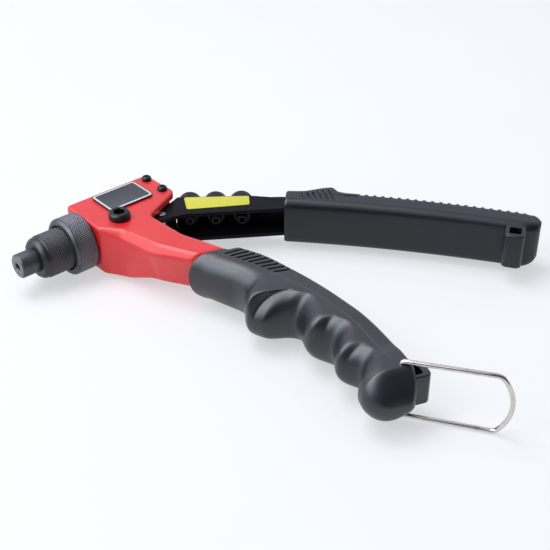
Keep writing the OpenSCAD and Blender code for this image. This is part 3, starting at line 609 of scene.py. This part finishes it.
def knurled(bm, x0, x1, radius, pitch, depth):
    """Presses diamonds into a turned shape's band from x0 to x1, and marks tips and grooves."""
    around = round(2 * math.pi * radius / pitch)
    mark = bm.verts.layers.float.new("knurl")
    end, mean = 0.5, 0.8
    for v, angle in on_band(bm, x0, x1, radius):
        a = angle * around
        b = (v.co.x - x0) / pitch * 2 * math.pi
        wave = min(abs(math.sin((a + b) / 2)), abs(math.sin((a - b) / 2)))
        fade = smooth_step((v.co.x - x0) / end) * smooth_step((x1 - v.co.x) / end)
        raised(v, depth * (wave - mean) * fade, radius)
        # High on the tips, below zero in the grooves: where the finish paints highlight and shade
        v[mark] = (2.2 * wave - 1.0) * fade


def refined(profile, x0, x1, radius, step):
    """The profile with extra points along its stretch of that radius, from x0 to x1."""
    out = []
    for i, (x, r) in enumerate(profile):
        out.append((x, r))
        nx, nr = profile[(i + 1) % len(profile)]
        if (abs(r - radius) < 0.02 and abs(nr - radius) < 0.02 and abs(nx - x) > 2 * step
                and min(x, nx) < x1 and max(x, nx) > x0):
            parts = int(abs(nx - x) / step)
            out += [(x + (nx - x) * k / parts, radius) for k in range(1, parts)]
    return out


# Pieces of the nose

NOSE_BORE = 1.6
NOSE_THREAD = 4.0
HOUSING_MOUTH = 4.05
HOUSING_RADIUS = 10.0
CASE_BORE = 6.9
RING_BORE = 11.9
RING_LIP = 10.8


def threaded_nose(bore, steps):
    """A turned nosepiece with rounded thread rings, from its front face back."""
    head = node_box("nosepiece")[1].y
    shank, tail, thread_depth = HEAD_LEN + 7, 2.7, 0.4
    profile = soft_corners([
        (0.5, bore, 0.1), (0, bore + 0.5, 0.1), (0, head - 0.7, 0.2), (0.7, head, 0.2),
        (HEAD_LEN, head, 0.35), (HEAD_LEN, NOSE_THREAD, 0.1), (shank, NOSE_THREAD, 0.2),
        (shank, tail, 0.1), (shank + 2.5, tail, 0.1), (shank + 3, tail - 0.6, 0.1),
        (shank + 3, bore, 0.15)])
    first = HEAD_LEN + 1.4
    bm = spun(refined(profile, first, shank, NOSE_THREAD, 0.2), steps)
    for v, angle in on_band(bm, first, shank, NOSE_THREAD):
        wave = 0.5 - 0.5 * math.cos(2 * math.pi * (v.co.x - first) + angle)
        raised(v, -thread_depth * wave, NOSE_THREAD)
    return bm


class RIVETER_OT_nose(Operator):
    """Builds the knurled housing, the lock ring and the fitted nosepiece"""
    bl_idname = "riveter.nose"
    bl_label = "Nose"

    def execute(self, context):
        # The housing screws onto the snout and carries the nosepiece
        back, rim = node_box("nose_housing")[1].xy
        outer, flange, knurl = HOUSING_RADIUS, back - 3.0, HEAD_LEN + 3.6
        inside = HEAD_LEN + 7.3
        bm = self.knurled_ring([
            (HEAD_LEN, HOUSING_MOUTH, 0.1), (HEAD_LEN, outer - 1.7, 0.3),
            (HEAD_LEN + 1.5, outer - 0.45, 0.5), (HEAD_LEN + 3.1, outer - 0.45, 0.1),
            (knurl, outer, 0.15), (flange, outer, 0.1), (flange, rim, 0.2), (back, rim, 0.2),
            (back, CASE_BORE, 0.1), (inside, CASE_BORE, 0.1), (inside, HOUSING_MOUTH, 0.1)],
            knurl, flange, outer, 0.0)
        placed(bm, "nose_housing_knurled", ["housing_steel"], "tool_frame",
                       ["nose_housing"], 50)
        # The lock ring turns round the housing and leaves a dark gap in front
        low, high = node_box("lock_ring")
        outer, front, rear = high.y, low.x, high.x
        bm = self.knurled_ring([
            (front, RING_LIP, 0.2), (front, outer - 1.15, 0.35), (front + 1.2, outer, 0.3),
            (rear - 0.9, outer, 0.3), (rear, outer - 0.7, 0.2), (rear, RING_BORE, 0.1),
            (front + 3.2, RING_BORE, 0.1), (front + 3.2, RING_LIP, 0.1)],
            front + 1.2, rear - 0.9, outer, 0.1)
        placed(bm, "lock_ring_knurled", ["phosphate_steel"], "ring", ["lock_ring"], 50)
        bm = threaded_nose(NOSE_BORE, 96)
        for f in bm.faces:
            if f.calc_center_median().x < 0.05:
                f.material_index = 1
        placed(bm, "nosepiece_turned", ["phosphate_steel", "ground_face"], "tool_frame",
               ["nosepiece"], 40)
        return {"FINISHED"}

    def knurled_ring(self, corners, x0, x1, radius, inset):
        """A turned ring with a knurled band, which starts and ends at an inset."""
        pitch, depth = sizes().knurl_pitch / MM, sizes().knurl_depth / MM
        profile = refined(soft_corners(corners), x0, x1, radius, pitch / 6)
        bm = spun(profile, round(2 * math.pi * radius / pitch) * 6)
        knurled(bm, x0 + inset, x1 - inset, radius, pitch, depth)
        return bm


class RIVETER_OT_puller(Operator):
    """Finishes the jaws, the jaw case, the pull tube and the two springs"""
    bl_idname = "riveter.puller"
    bl_label = "Puller"

    def execute(self, context):
        for name in ("jaw_case", "pull_tube", "jaw_pusher", "jaw_left", "jaw_right", "jaw_top"):
            dress_node(name, "bright_steel")
        for name in ("jaw_spring", "return_spring"):
            dress_node(name, "spring_wire")
        return {"FINISHED"}


# Pieces of the body

class RIVETER_OT_casting(Operator):
    """Builds the painted casting with its soft cast edges"""
    bl_idname = "riveter.casting"
    bl_label = "Casting"

    def execute(self, context):
        # An even skin of small faces is what smoothing can round
        bm = node_mesh("body_casting")
        bmesh.ops.triangulate(bm, faces=bm.faces)
        bm = modified(bm, "REMESH", mode="VOXEL", voxel_size=0.42)
        softened(bm, sizes().cast_round, bm.verts)
        # The arm is one smooth surface: its facets fade towards the grip
        bands = 5
        for k in range(bands):
            reach = PIVOT.y - 4.0 - 1.2 * k
            softened(bm, sizes().arm_round // bands, [v for v in bm.verts if v.co.y < reach])
        placed(bm, "body_painted", ["red_paint"], "tool_frame", ["body_casting"], 60)
        dress_node("rear_block", "black_screw")
        dress_node("pivot_bush", "bush_bronze")
        return {"FINISHED"}


class RIVETER_OT_fasteners(Operator):
    """Rounds the edges of the pivot bolt, its nut, the tie pin and the rear screws"""
    bl_idname = "riveter.fasteners"
    bl_label = "Fasteners"

    def execute(self, context):
        parts = (("pivot_bolt", "tool_frame", "black_screw", 0.3),
                 ("rear_screws", "tool_frame", "black_screw", 0.14),
                 ("pivot_nut", "tool_frame", "black_screw", 0.2),
                 ("tie_pin", "lever", "bright_steel", 0.25))
        for name, body, finish, width in parts:
            bm = node_mesh(name)
            rounded_edges(bm, width, 3, 28)
            even_shading(placed(bm, name + "_rounded", [finish], body, [name], 40))
        return {"FINISHED"}


class RIVETER_OT_plate(Operator):
    """Builds the bare plate: a black rim, a light line and a dark field"""
    bl_idname = "riveter.plate"
    bl_label = "Plate"

    def execute(self, context):
        low, high = node_box("side_plate")
        size = high - low
        place = Matrix.Translation((low.x + size.x / 2, low.y + size.y / 2, low.z))
        bm = bmesh.new()
        bmesh.ops.create_grid(bm, x_segments=1, y_segments=1, size=0.5,
                              matrix=place @ Matrix.Diagonal((size.x, size.y, 1.0, 1.0)))
        bevelled(bm, bm.verts[:], 2.0, 8, "VERTICES")
        body = bmesh.ops.extrude_face_region(bm, geom=bm.faces[:])["geom"]
        top = [g for g in body if isinstance(g, bmesh.types.BMFace)]
        for v in {v for f in top for v in f.verts}:
            v.co.z = high.z - 0.1
        # Width and rise of each step inwards, and its finish
        rim, line, field = 0, 1, 2
        for width, rise, finish in ((0.3, -0.04, rim), (0.1, 0.05, line), (0.85, 0.0, line),
                                    (0.15, -0.08, field)):
            made = bmesh.ops.inset_region(bm, faces=top, thickness=width, depth=rise,
                                          use_even_offset=True)["faces"]
            for f in made:
                f.material_index = finish
        for f in top:
            f.material_index = field
        bmesh.ops.recalc_face_normals(bm, faces=bm.faces)
        plate = placed(bm, "plate_bare", ["plate_rim", "plate_line", "plate_field"],
                       "tool_frame", ["side_plate"], 30)
        return {"FINISHED"}


# Pieces of the lever

SPARE_AXIS = Vector((-0.6232, -0.7820, 0.0)).normalized()


class RIVETER_OT_lever(Operator):
    """Builds the pressed channel, its bare sticker and the three spare nosepieces"""
    bl_idname = "riveter.lever"
    bl_label = "Lever"

    def execute(self, context):
        bm = node_mesh("lever_channel")
        rounded_edges(bm, sizes().edge_round / MM * 1.4, 3, 28)
        even_shading(placed(bm, "lever_pressed", ["black_paint"], "lever", ["lever_channel"], 40))
        bm = node_mesh("lever_sticker")
        rounded_edges(bm, 0.05, 2, 60)
        placed(bm, "sticker_bare", ["sticker_film"], "lever", ["lever_sticker"], 40)
        for name, bore in (("spare_nose_small", 0.9), ("spare_nose_medium", 1.1),
                           ("spare_nose_large", 1.35)):
            # Its head stands out square to the lever's back
            bm = threaded_nose(bore, 72)
            turn = Vector((1, 0, 0)).rotation_difference(SPARE_AXIS).to_matrix().to_4x4()
            bmesh.ops.transform(bm, matrix=turn, verts=bm.verts)
            middle = Vector([(min(a) + max(a)) / 2 for a in zip(*(v.co for v in bm.verts))])
            low, high = node_box(name)
            bmesh.ops.translate(bm, vec=(low + high) / 2 - middle, verts=bm.verts)
            # Their darker finish is painted shade from the channel around them
            placed(bm, name + "_turned", ["spare_steel"], "lever", [name], 40)
        return {"FINISHED"}


# Handle sleeve

SLEEVE_LEN = 117.0
SLEEVE_BOW = 640.0
SLEEVE_TURN = math.radians(90 - 47.6)
LEVER_ANGLE = math.radians(34.5)
LEVER_DIR = Vector((math.cos(LEVER_ANGLE), -math.sin(LEVER_ANGLE)))
LEVER_SIDE = Vector((math.sin(LEVER_ANGLE), math.cos(LEVER_ANGLE)))
SLEEVE_START = PIVOT.xy + 76.0 * LEVER_DIR + 5.8 * LEVER_SIDE
SLEEVE_CENTRE = on_bow(SLEEVE_START, -SLEEVE_BOW, SLEEVE_TURN)
SLEEVE_WIDTH = [(0, 13.2), (7, 13.8), (17.5, 18.2), (20.5, 19.0), (24, 15.5), (28, 14.7),
                (66, 14.6), (SLEEVE_LEN, 14.2)]
THUMB_SLOTS, THUMB_PITCH, THUMB_SLANT = 6, 2.74, 0.34
NOTCH_PITCH = 3.8


def on_sleeve(s, n):
    return on_bow(SLEEVE_CENTRE, SLEEVE_BOW + n, SLEEVE_TURN - s / SLEEVE_BOW)


def slot_mask(distance, half, soft):
    """1 inside a slot and 0 outside it, by the distance from its middle line."""
    return 1 - smooth_step((abs(distance) - half + soft) / (2 * soft))


def sleeve_sink(s, n, width):
    """How deep the slots of the sleeve's top and back are at a place."""
    deep = 0.0
    # Slanted slots on the thumb stop
    for k in range(THUMB_SLOTS):
        line = 8.7 + THUMB_PITCH * k - THUMB_SLANT * (n - 5)
        reach = smooth_step((n - 4.6) / 0.6) * smooth_step((width - 5.2 - n) / 0.6)
        deep = max(deep, slot_mask(s - line, 0.5, 0.2) * reach * 0.7)
    # Notches along the back edge
    if 33.5 < s < 113:
        cell = (s - 35.15) / NOTCH_PITCH
        rib = slot_mask((cell - round(cell)) * NOTCH_PITCH, 1.15, 0.25)
        deep = max(deep, 0.42 * rib * smooth_step((n - 9.2) / 0.25))
    # Step between the top and the ribbed back
    if 22 < s < 34:
        deep = max(deep, 0.7 * slot_mask(n - 9.4, 0.3, 0.25) * smooth_step((s - 22) / 1.5)
                   * smooth_step(34 - s))
    return deep * sizes().slot_depth / MM


def sleeve_section(s, width, half, lift, low=0.0):
    """Points round the sleeve at s, from its open side over the top to the underside."""
    corner, edge_wide, edge_high = 3.6, 4.0, 5.0
    n0, n1 = lift + corner, width - edge_wide
    upper = [(n0 - corner * up, half - corner + corner * out)
             for out, up in quarter(0.25, 0.5, 0.75)]
    count = 34
    for n in (n0 + (n1 - n0) * k / count for k in range(count + 1)):
        upper.append((n, half - sleeve_sink(s, n, width)))
    for out, up in quarter(0.12, 0.24, 0.36, 0.5, 0.64, 0.76, 0.88):
        n = n1 + edge_wide * out
        sink = sleeve_sink(s, n, width)
        upper.append((n - sink * out, half - edge_high + (edge_high - sink) * up))
    side = [(lift, (half - corner) * (k / 6 - 1)) for k in range(13)]
    back = [(width - sleeve_sink(s, width, width), (half - edge_high) * (1 - k / 5))
            for k in range(11)]
    points = side + upper + back + [(n, -z) for n, z in reversed(upper)]
    return [(*on_sleeve(s, n), z + low * max(0.0, -z) / half) for n, z in points]


LUG_DEEP, LUG_WIDE, LUG_SLOT, LUG_FROM_END = 10.0, 9.0, 5.4, 10.5


def upright(bm):
    return [e for e in bm.edges if abs(e.verts[0].co.z - e.verts[1].co.z) > 1]


def lug_mesh(root, angle, top, height, hole, hole_at):
    """A hollow lug: a rounded block with a square hole through it, from its root outwards."""
    middle = top - height / 2
    bm = block((LUG_DEEP, LUG_WIDE, height), (-LUG_DEEP / 2, 0, middle))
    bevelled(bm, [e for e in upright(bm) if e.verts[0].co.x < -1], 2.4, 6)
    rims = {e for f in bm.faces if abs(f.normal.z) > 0.9 for e in f.edges}
    bevelled(bm, [e for e in bm.edges if e in rims and min(v.co.x for v in e.verts) < -0.01],
             0.7, 3)
    tool = block((hole, LUG_SLOT, height + 4), (hole_at, 0, middle))
    bevelled(tool, upright(tool), 0.8, 4)
    bm = cut(bm, tool)
    place = Matrix.Translation((root.x, root.y, 0)) @ Matrix.Rotation(angle, 4, "Z")
    bmesh.ops.transform(bm, matrix=place, verts=bm.verts)
    return bm


class RIVETER_OT_sleeve(Operator):
    """Builds the handle sleeve with its thumb stop, slots, ribs and lug"""
    bl_idname = "riveter.sleeve"
    bl_label = "Handle sleeve"

    def execute(self, context):
        half = node_box("lever_sleeve")[1].z
        cap, step = 8, 0.4
        rings = []
        for s in (step * k for k in range(int((SLEEVE_LEN - cap) / step) + 1)):
            lip = 0.35 * (1 - smooth_step(s / 0.8))
            rings.append(sleeve_section(s, between(SLEEVE_WIDTH, s) - lip, half - lip, lip * 0.5))
        width = between(SLEEVE_WIDTH, SLEEVE_LEN)
        for a in (math.radians(t) for t in range(8, 90, 8)):
            fall = 1 - math.cos(a)
            rings.append(sleeve_section(SLEEVE_LEN - cap + cap * math.sin(a), width - 5 * fall,
                                        half - 1.6 * fall, 5 * fall, 3.6 * fall))
        # Room for the channel, open at the front
        top = node_box("lever_channel")[1].z + 0.1
        inner, outer = 1.1, 11.9
        corners = (inner, -top), (outer, -top), (outer, top), (inner, top)
        room = loft([[(*on_sleeve(s, n), z) for n, z in corners]
                     for s in [-3.0] + [k * 4.0 for k in range(14)]])
        placed(cut(loft(rings), room), "sleeve_moulded", ["sleeve_plastic"], "lever",
               ["lever_sleeve"], 38)
        s = SLEEVE_LEN - LUG_FROM_END
        lug = lug_mesh(on_sleeve(s, 1.0), SLEEVE_TURN - s / SLEEVE_BOW, top=10.8, height=17.0,
                       hole=5.4, hole_at=-4.9)
        placed(lug, "sleeve_lug", ["sleeve_plastic"], "lever", (), 35)
        return {"FINISHED"}


# Fixed grip

GRIP_BOW = 152.0
GRIP_LEN = 120.0
GRIP_TURN = math.radians(20)
GRIP_START = Vector((70.2, -63.5))
GRIP_CENTRE = on_bow(GRIP_START, -GRIP_BOW, GRIP_TURN)


def on_grip(s, n):
    return on_bow(GRIP_CENTRE, GRIP_BOW - n, GRIP_TURN - s / GRIP_BOW)


# Depth towards the fingers, half thickness, and how far the back stands out behind its bow
GRIP_DEPTH = [(0, 16.4), (12, 16.8), (18.6, 18.1), (24, 21.4), (27.9, 25.4), (31.5, 27),
              (38.5, 25.6), (50, 15.4), (64.5, 20.3), (75, 15), (87.5, 19.9), (97, 14),
              (107.5, 19.6), (GRIP_LEN, 19.8)]
GRIP_RISE = [(0, 12.0), (20, 12.5), (70, 12.5), (94, 10.9), (102, 11.8), (GRIP_LEN, 11.8)]
GRIP_SWELL = [(0, 0), (5, 2), (12, 2.2), (34, 0.8), (60, 0.3), (94, 1.5), (GRIP_LEN, 1.5)]
# How full the upper side stays towards the fingers
GRIP_FULL = [(0, 2.2), (18, 2.2), (27, 2.0), (31, 2.6), (35.5, 3.5), (37.2, 3.7), (42.5, 1.5),
             (48, 1.5), (54, 1.85), (61, 2.5), (66, 2.9), (70, 1.7), (77, 1.8), (82.5, 2.5),
             (86.5, 2.8), (90.4, 1.7), (96, 1.9), (103, 2.4), (GRIP_LEN, 2.4)]
# How far the top stays flat past the crease before it rounds off
GRIP_FLAT = [(22, 0), (33, 3.5), (45, 3.5), (52, 0.5), (59, 0.5), (65, 2.4), (71, 2.4), (76, 0.5),
             (81, 0.5), (86, 2), (91, 2), (96, 0.5), (GRIP_LEN, 0.5)]
# Length of the end cap, where its back and front start, and its height over its last edge
CAP_LEN, CAP_BACK, CAP_FRONT = 10, -1.5, 19.8
CAP_RISE, CAP_EDGE = 11.5, 0.3
SPINE_SLOTS, SPINE_PITCH, SPINE_SLANT = 9, 3.38, 0.72


def grip_full(s, n):
    """Fullness at a place; the rim of the first stop runs away from the nose as it climbs."""
    climb = min(1.0, max(0.0, (26 - n) / 12)) ** 1.5
    near = smooth_step((s - 12) / 13) * smooth_step((58 - s) / 16)
    return between(GRIP_FULL, s + 8 * (1 - climb) * near)


def grip_sink(place):
    """How deep the slots of the spine are at a place in plan."""
    away = place - GRIP_CENTRE
    s = (GRIP_TURN - math.atan2(away.y, away.x)) * GRIP_BOW
    n = GRIP_BOW - away.length
    reach = smooth_step((n + 1.1) / 0.4) * smooth_step((7.4 - n) / 0.4)
    lines = [0.8 + SPINE_PITCH * k + SPINE_SLANT * (7 - n) for k in range(SPINE_SLOTS)]
    return reach * max(slot_mask(s - line, 0.55, 0.16) for line in lines)


def grip_section(s, back, front, rise, band, full, crease=1.0, under=None):
    """Points round the grip, from its back edge over the top to the finger side and under.

    The fullness is a function of the depth. The underside is evenly round, but fuller at the
    first stop.
    """
    width = (front - back).length
    u = (front - back) / width
    depth, line = sizes().slot_depth / MM, sizes().crease_depth / MM * crease
    under = rise if under is None else under
    corner = min(2.0, rise / 2)
    upper = [(corner - corner * up, rise - corner + corner * out)
             for out, up in quarter(0.0, 0.25, 0.5, 0.75)]
    start, count = band + 0.4, 20
    for k in range(count + 1):
        x = corner + (band - 0.4 - corner) * k / count
        upper.append((x, rise - depth * grip_sink(back + x * u)))
    upper += [(band - 0.2, rise - line * 0.5), (band, rise - line),
              (band + 0.2, rise - line * 0.5), (start, rise - 0.02)]
    lower = [(x, -z * under / rise) for x, z in upper]
    below = 2 / (2 + 0.7 * smooth_step((s - 20) / 9) * smooth_step((46 - s) / 9))
    flat = start + between(GRIP_FLAT, s)
    count = 34
    for out, up in quarter(*(k / count for k in range(1, count))):
        power = 2 / full(flat + (width - flat) * out ** 0.8)
        upper.append((flat + (width - flat) * out ** power, (rise - 0.02) * up ** power))
        lower.append((start + (width - start) * out ** below, (0.02 - under) * up ** below))
    tail = 0.55 * smooth_step((s - 101) / 17)
    lower = [(x, z * (1 - tail * (1 - x / width) ** 2)) for x, z in lower]
    # The back face closes the ring, from the underside up
    foot = lower[0][1]
    face = [(0.0, foot + (rise - corner - foot) * k / 10) for k in range(1, 10)]
    points = upper + [(width, 0.0)] + lower[::-1] + face
    return [(*(back + x * u), z) for x, z in points]


class RIVETER_OT_fixed_grip(Operator):
    """Builds the fixed grip with its finger grooves, slotted spine and lug"""
    bl_idname = "riveter.fixed_grip"
    bl_label = "Fixed grip"

    def execute(self, context):
        lip_in = on_grip(0, 1.8)
        lip_out = on_bow(lip_in, 18.5, math.radians(159.8))
        # The slanted lip turns into square sections over its length
        lip_len, count = 12, 40
        square = on_grip(lip_len, between(GRIP_DEPTH, lip_len))
        rings = []
        for t in (k / count for k in range(count)):
            s = lip_len * t
            back = (lip_in + Vector((0, -s))).lerp(self.back(s), smooth_step(t * 3))
            rings.append(self.section(s, back, lip_out.lerp(square, t)))
        s = float(lip_len)
        while s < GRIP_LEN - CAP_LEN:
            rings.append(self.section(s, self.back(s), on_grip(s, between(GRIP_DEPTH, s))))
            s += 0.3 if s < 40 else 0.5
        # The end falls away from an edge across the flat top, and is round below
        for a in (math.radians(t) for t in range(0, 88, 4)):
            fall, out = 1 - math.cos(a), math.sin(a)
            s = GRIP_LEN - CAP_LEN + CAP_LEN * out
            rings.append(grip_section(
                s, on_grip(s, CAP_BACK + 5 * fall), on_grip(s, CAP_FRONT - 10 * fall),
                CAP_RISE * (1 - out ** 1.3) ** 0.77 + CAP_EDGE, 6.5 - 2.5 * fall, lambda n: 2.4,
                0.0, CAP_RISE * (1 - out ** 2.4) ** 0.42 + CAP_EDGE))
        placed(loft(rings), "grip_moulded", ["grip_rubber"], "tool_frame", ["fixed_grip"], 50)
        s = GRIP_LEN - LUG_FROM_END
        lug = lug_mesh(on_grip(s, 2.0), GRIP_TURN - s / GRIP_BOW + math.pi, top=7.8, height=14.0,
                       hole=4.6, hole_at=-4.6)
        placed(lug, "grip_lug", ["grip_rubber"], "tool_frame", (), 35)
        return {"FINISHED"}

    def back(self, s):
        return on_grip(s, -between(GRIP_SWELL, s))

    def section(self, s, back, front):
        """The crease stands at a depth from the bow, so the swollen back widens its band."""
        swell = between(GRIP_SWELL, s)
        band = 7.6 - 2.6 * s / GRIP_LEN + swell * smooth_step(s / 5)
        crease = smooth_step((s - 22) / 6) * smooth_step((GRIP_LEN - 12 - s) / 5)
        return grip_section(s, back, front, between(GRIP_RISE, s), band,
                            lambda n: grip_full(s, n - swell), crease)


# Bail

BAIL_WIRE = 1.0
BAIL_LEN = 43.6
BAIL_BOW = 18.2
BAIL_ANGLE = math.radians(-56.5)


class RIVETER_OT_bail(Operator):
    """Bends the wire bail: two legs, a bow, and ends turned into the grip"""
    bl_idname = "riveter.bail"
    bl_label = "Wire bail"

    def execute(self, context):
        # Half of the wire's line, then mirrored: its turned end, a leg and half of the bow
        gap = node_box("bail")[1].z - BAIL_WIRE
        middle = Vector((BAIL_LEN - BAIL_WIRE - BAIL_BOW, 0))
        half = math.asin(gap / BAIL_BOW)
        corner = Vector((middle.x + BAIL_BOW * math.cos(half), gap))
        leg = Vector((corner.x - 1.8, gap))
        sweep = half * 0.92
        end = Vector((0, gap - 1.6))
        line = [Vector((0, gap - 4.0)), end]
        line += soft_bend(end, Vector((0, gap)), Vector((1.6, gap)), [k / 6 for k in range(1, 7)])
        line += [Vector((leg.x * k / 8, gap)) for k in range(1, 8)]
        line += soft_bend(leg, corner, on_bow(middle, BAIL_BOW, sweep),
                          [k / 8 for k in range(1, 9)])
        line += [on_bow(middle, BAIL_BOW, sweep * (1 - k / 10)) for k in range(1, 11)]
        line += [Vector((p.x, -p.y)) for p in reversed(line[:-1])]
        # The legs spread a little towards the bow
        path = [Vector((p.x, 0, p.y * (0.985 + 0.05 * p.x / BAIL_LEN))) for p in line]
        side, sides = Vector((0, 1, 0)), 20
        rings = []
        for i, p in enumerate(path):
            up = (path[min(len(path) - 1, i + 1)] - path[max(0, i - 1)]).normalized().cross(side)
            rings.append([p + BAIL_WIRE * (math.cos(a) * side + math.sin(a) * up)
                          for a in (2 * math.pi * k / sides for k in range(sides))])
        bm = loft(rings)
        place = Matrix.Translation(BAIL_PIVOT) @ Matrix.Rotation(BAIL_ANGLE, 4, "Z")
        bmesh.ops.transform(bm, matrix=place, verts=bm.verts)
        placed(bm, "bail_bent", ["nickel_wire"], "wire_bail", ["bail"], 60)
        return {"FINISHED"}


# Stage

WORLD_LIGHT = 0.42
LIFT_STRENGTH, LIFT_SHARE = 1.18, 0.45
TOWARDS_BACKDROP = (0.66, 0.75, 0.0)
TOWARDS_SOFTBOX = (-0.66, 0.34, 0.67)


class RIVETER_OT_stage(Operator):
    """Sets up the pale table, the soft light and the camera"""
    bl_idname = "riveter.stage"
    bl_label = "Stage"

    def execute(self, context):
        scene = context.scene
        self.floor()
        self.world(scene)
        self.lamp("top_lamp", (-0.05, 0.3, 1.0), (0.06, -0.08, 0.0), 0.7, 5.2, (1, 0.99, 0.98))
        self.lamp("left_lamp", (-0.62, 0.1, 0.74), (0.05, -0.08, 0.0), 0.5, 2.1, (0.93, 0.96, 1))
        self.camera(scene)
        scene.view_settings.view_transform = "Standard"
        return {"FINISHED"}

    def floor(self):
        bm = bmesh.new()
        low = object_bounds()[0][2] - 0.0002
        bmesh.ops.create_grid(bm, x_segments=2, y_segments=2, size=6.0,
                              matrix=Matrix.Translation((0, 0, low)))
        table = as_object(bm, "table")
        finish = Finish("table_white", colours().floor, 0.55, 0.0, 0.3)
        finish.set("Base Color", finish.vary(0.01, 60.0))
        # Seen directly, the table is lifted towards white and keeps the shadows
        lift = finish.node("Emission", {
            "Color": (0.965, 0.98, 1.0, 1), "Strength": LIFT_STRENGTH})
        finish.mixed_surface(finish.seen() * LIFT_SHARE, finish.shader, lift)
        table.data.materials.append(finish.material)
        table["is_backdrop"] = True

    def world(self, scene):
        """A white backdrop behind the object, a darker room, and a softbox's glow in gloss."""
        scene.world = bpy.data.worlds.new("studio")
        tree = Shading(scene.world, "ShaderNodeOutputWorld")
        room = tree.mix(tree.facing(TOWARDS_BACKDROP).over(0.05, 0.9), (0.09, 0.095, 0.118, 1),
                        (0.84, 0.87, 1.0, 1))
        lit = tree.mix(tree.facing(TOWARDS_SOFTBOX).over(0.82, 0.16), room, (3.5, 3.75, 4.1, 1))
        white = tree.mix(tree.ray("Is Camera Ray"), lit, (0.97, 0.98, 1.0, 1))
        light = tree.node("Background", {
            "Color": (0.93, 0.96, 1.0, 1), "Strength": WORLD_LIGHT})
        seen = tree.node("Background", {"Color": white, "Strength": 1.0})
        tree.mixed_surface(tree.seen(), light, seen)

    def lamp(self, name, place, target, size, power, colour):
        data = bpy.data.lights.new(name, "AREA")
        data.shape = "DISK"
        data.size = size
        data.energy = power
        data.color = colour
        lamp = linked(name, data)
        lamp.location = place
        aim = Vector(target) - Vector(place)
        lamp.rotation_euler = aim.to_track_quat("-Z", "Y").to_euler()

    def camera(self, scene):
        """The photograph's viewpoint: 34 degrees above the table, on the nose side."""
        data = bpy.data.cameras.new("view")
        data.lens = 72.0
        data.clip_start = 0.01
        data.clip_end = 20.0
        ahead = Vector((0.5464, 0.6209, -0.5621)).normalized()
        right = Vector((0.7507, -0.6606, 0.0)).normalized()
        turn = Matrix((right, right.cross(ahead), -ahead)).transposed().to_4x4()
        camera = linked("view", data)
        camera.matrix_world = Matrix.Translation((-0.1819, -0.3794, 0.2710)) @ turn
        scene.camera = camera


class RIVETER_PT_panel(Panel):
    """Sizes, colours and build steps of the riveter"""
    bl_idname = "RIVETER_PT_panel"
    bl_label = "Hand lever riveter"
    bl_space_type = "VIEW_3D"
    bl_region_type = "UI"
    bl_category = "Riveter"

    def draw(self, context):
        layout = self.layout
        for group in (context.scene.riveter_sizes, context.scene.riveter_colours):
            box = layout.box()
            for name in group.bl_rna.properties.keys():
                if name not in ("rna_type", "name"):
                    box.prop(group, name)
        for step in STEPS:
            layout.operator(step.bl_idname)


STEPS = (RIVETER_OT_nose, RIVETER_OT_puller, RIVETER_OT_casting, RIVETER_OT_fasteners,
         RIVETER_OT_plate, RIVETER_OT_lever, RIVETER_OT_sleeve, RIVETER_OT_fixed_grip,
         RIVETER_OT_bail, RIVETER_OT_stage)
CLASSES = (RiveterSizes, RiveterColours) + STEPS + (RIVETER_PT_panel,)


def register():
    for item in CLASSES:
        bpy.utils.register_class(item)
    bpy.types.Scene.riveter_sizes = PointerProperty(type=RiveterSizes)
    bpy.types.Scene.riveter_colours = PointerProperty(type=RiveterColours)


def unregister():
    del bpy.types.Scene.riveter_colours
    del bpy.types.Scene.riveter_sizes
    for item in reversed(CLASSES):
        bpy.utils.unregister_class(item)


def main():
    register()
    for step in STEPS:
        group, name = step.bl_idname.split(".")
        getattr(getattr(bpy.ops, group), name)()


if __name__ == "__main__":
    main()
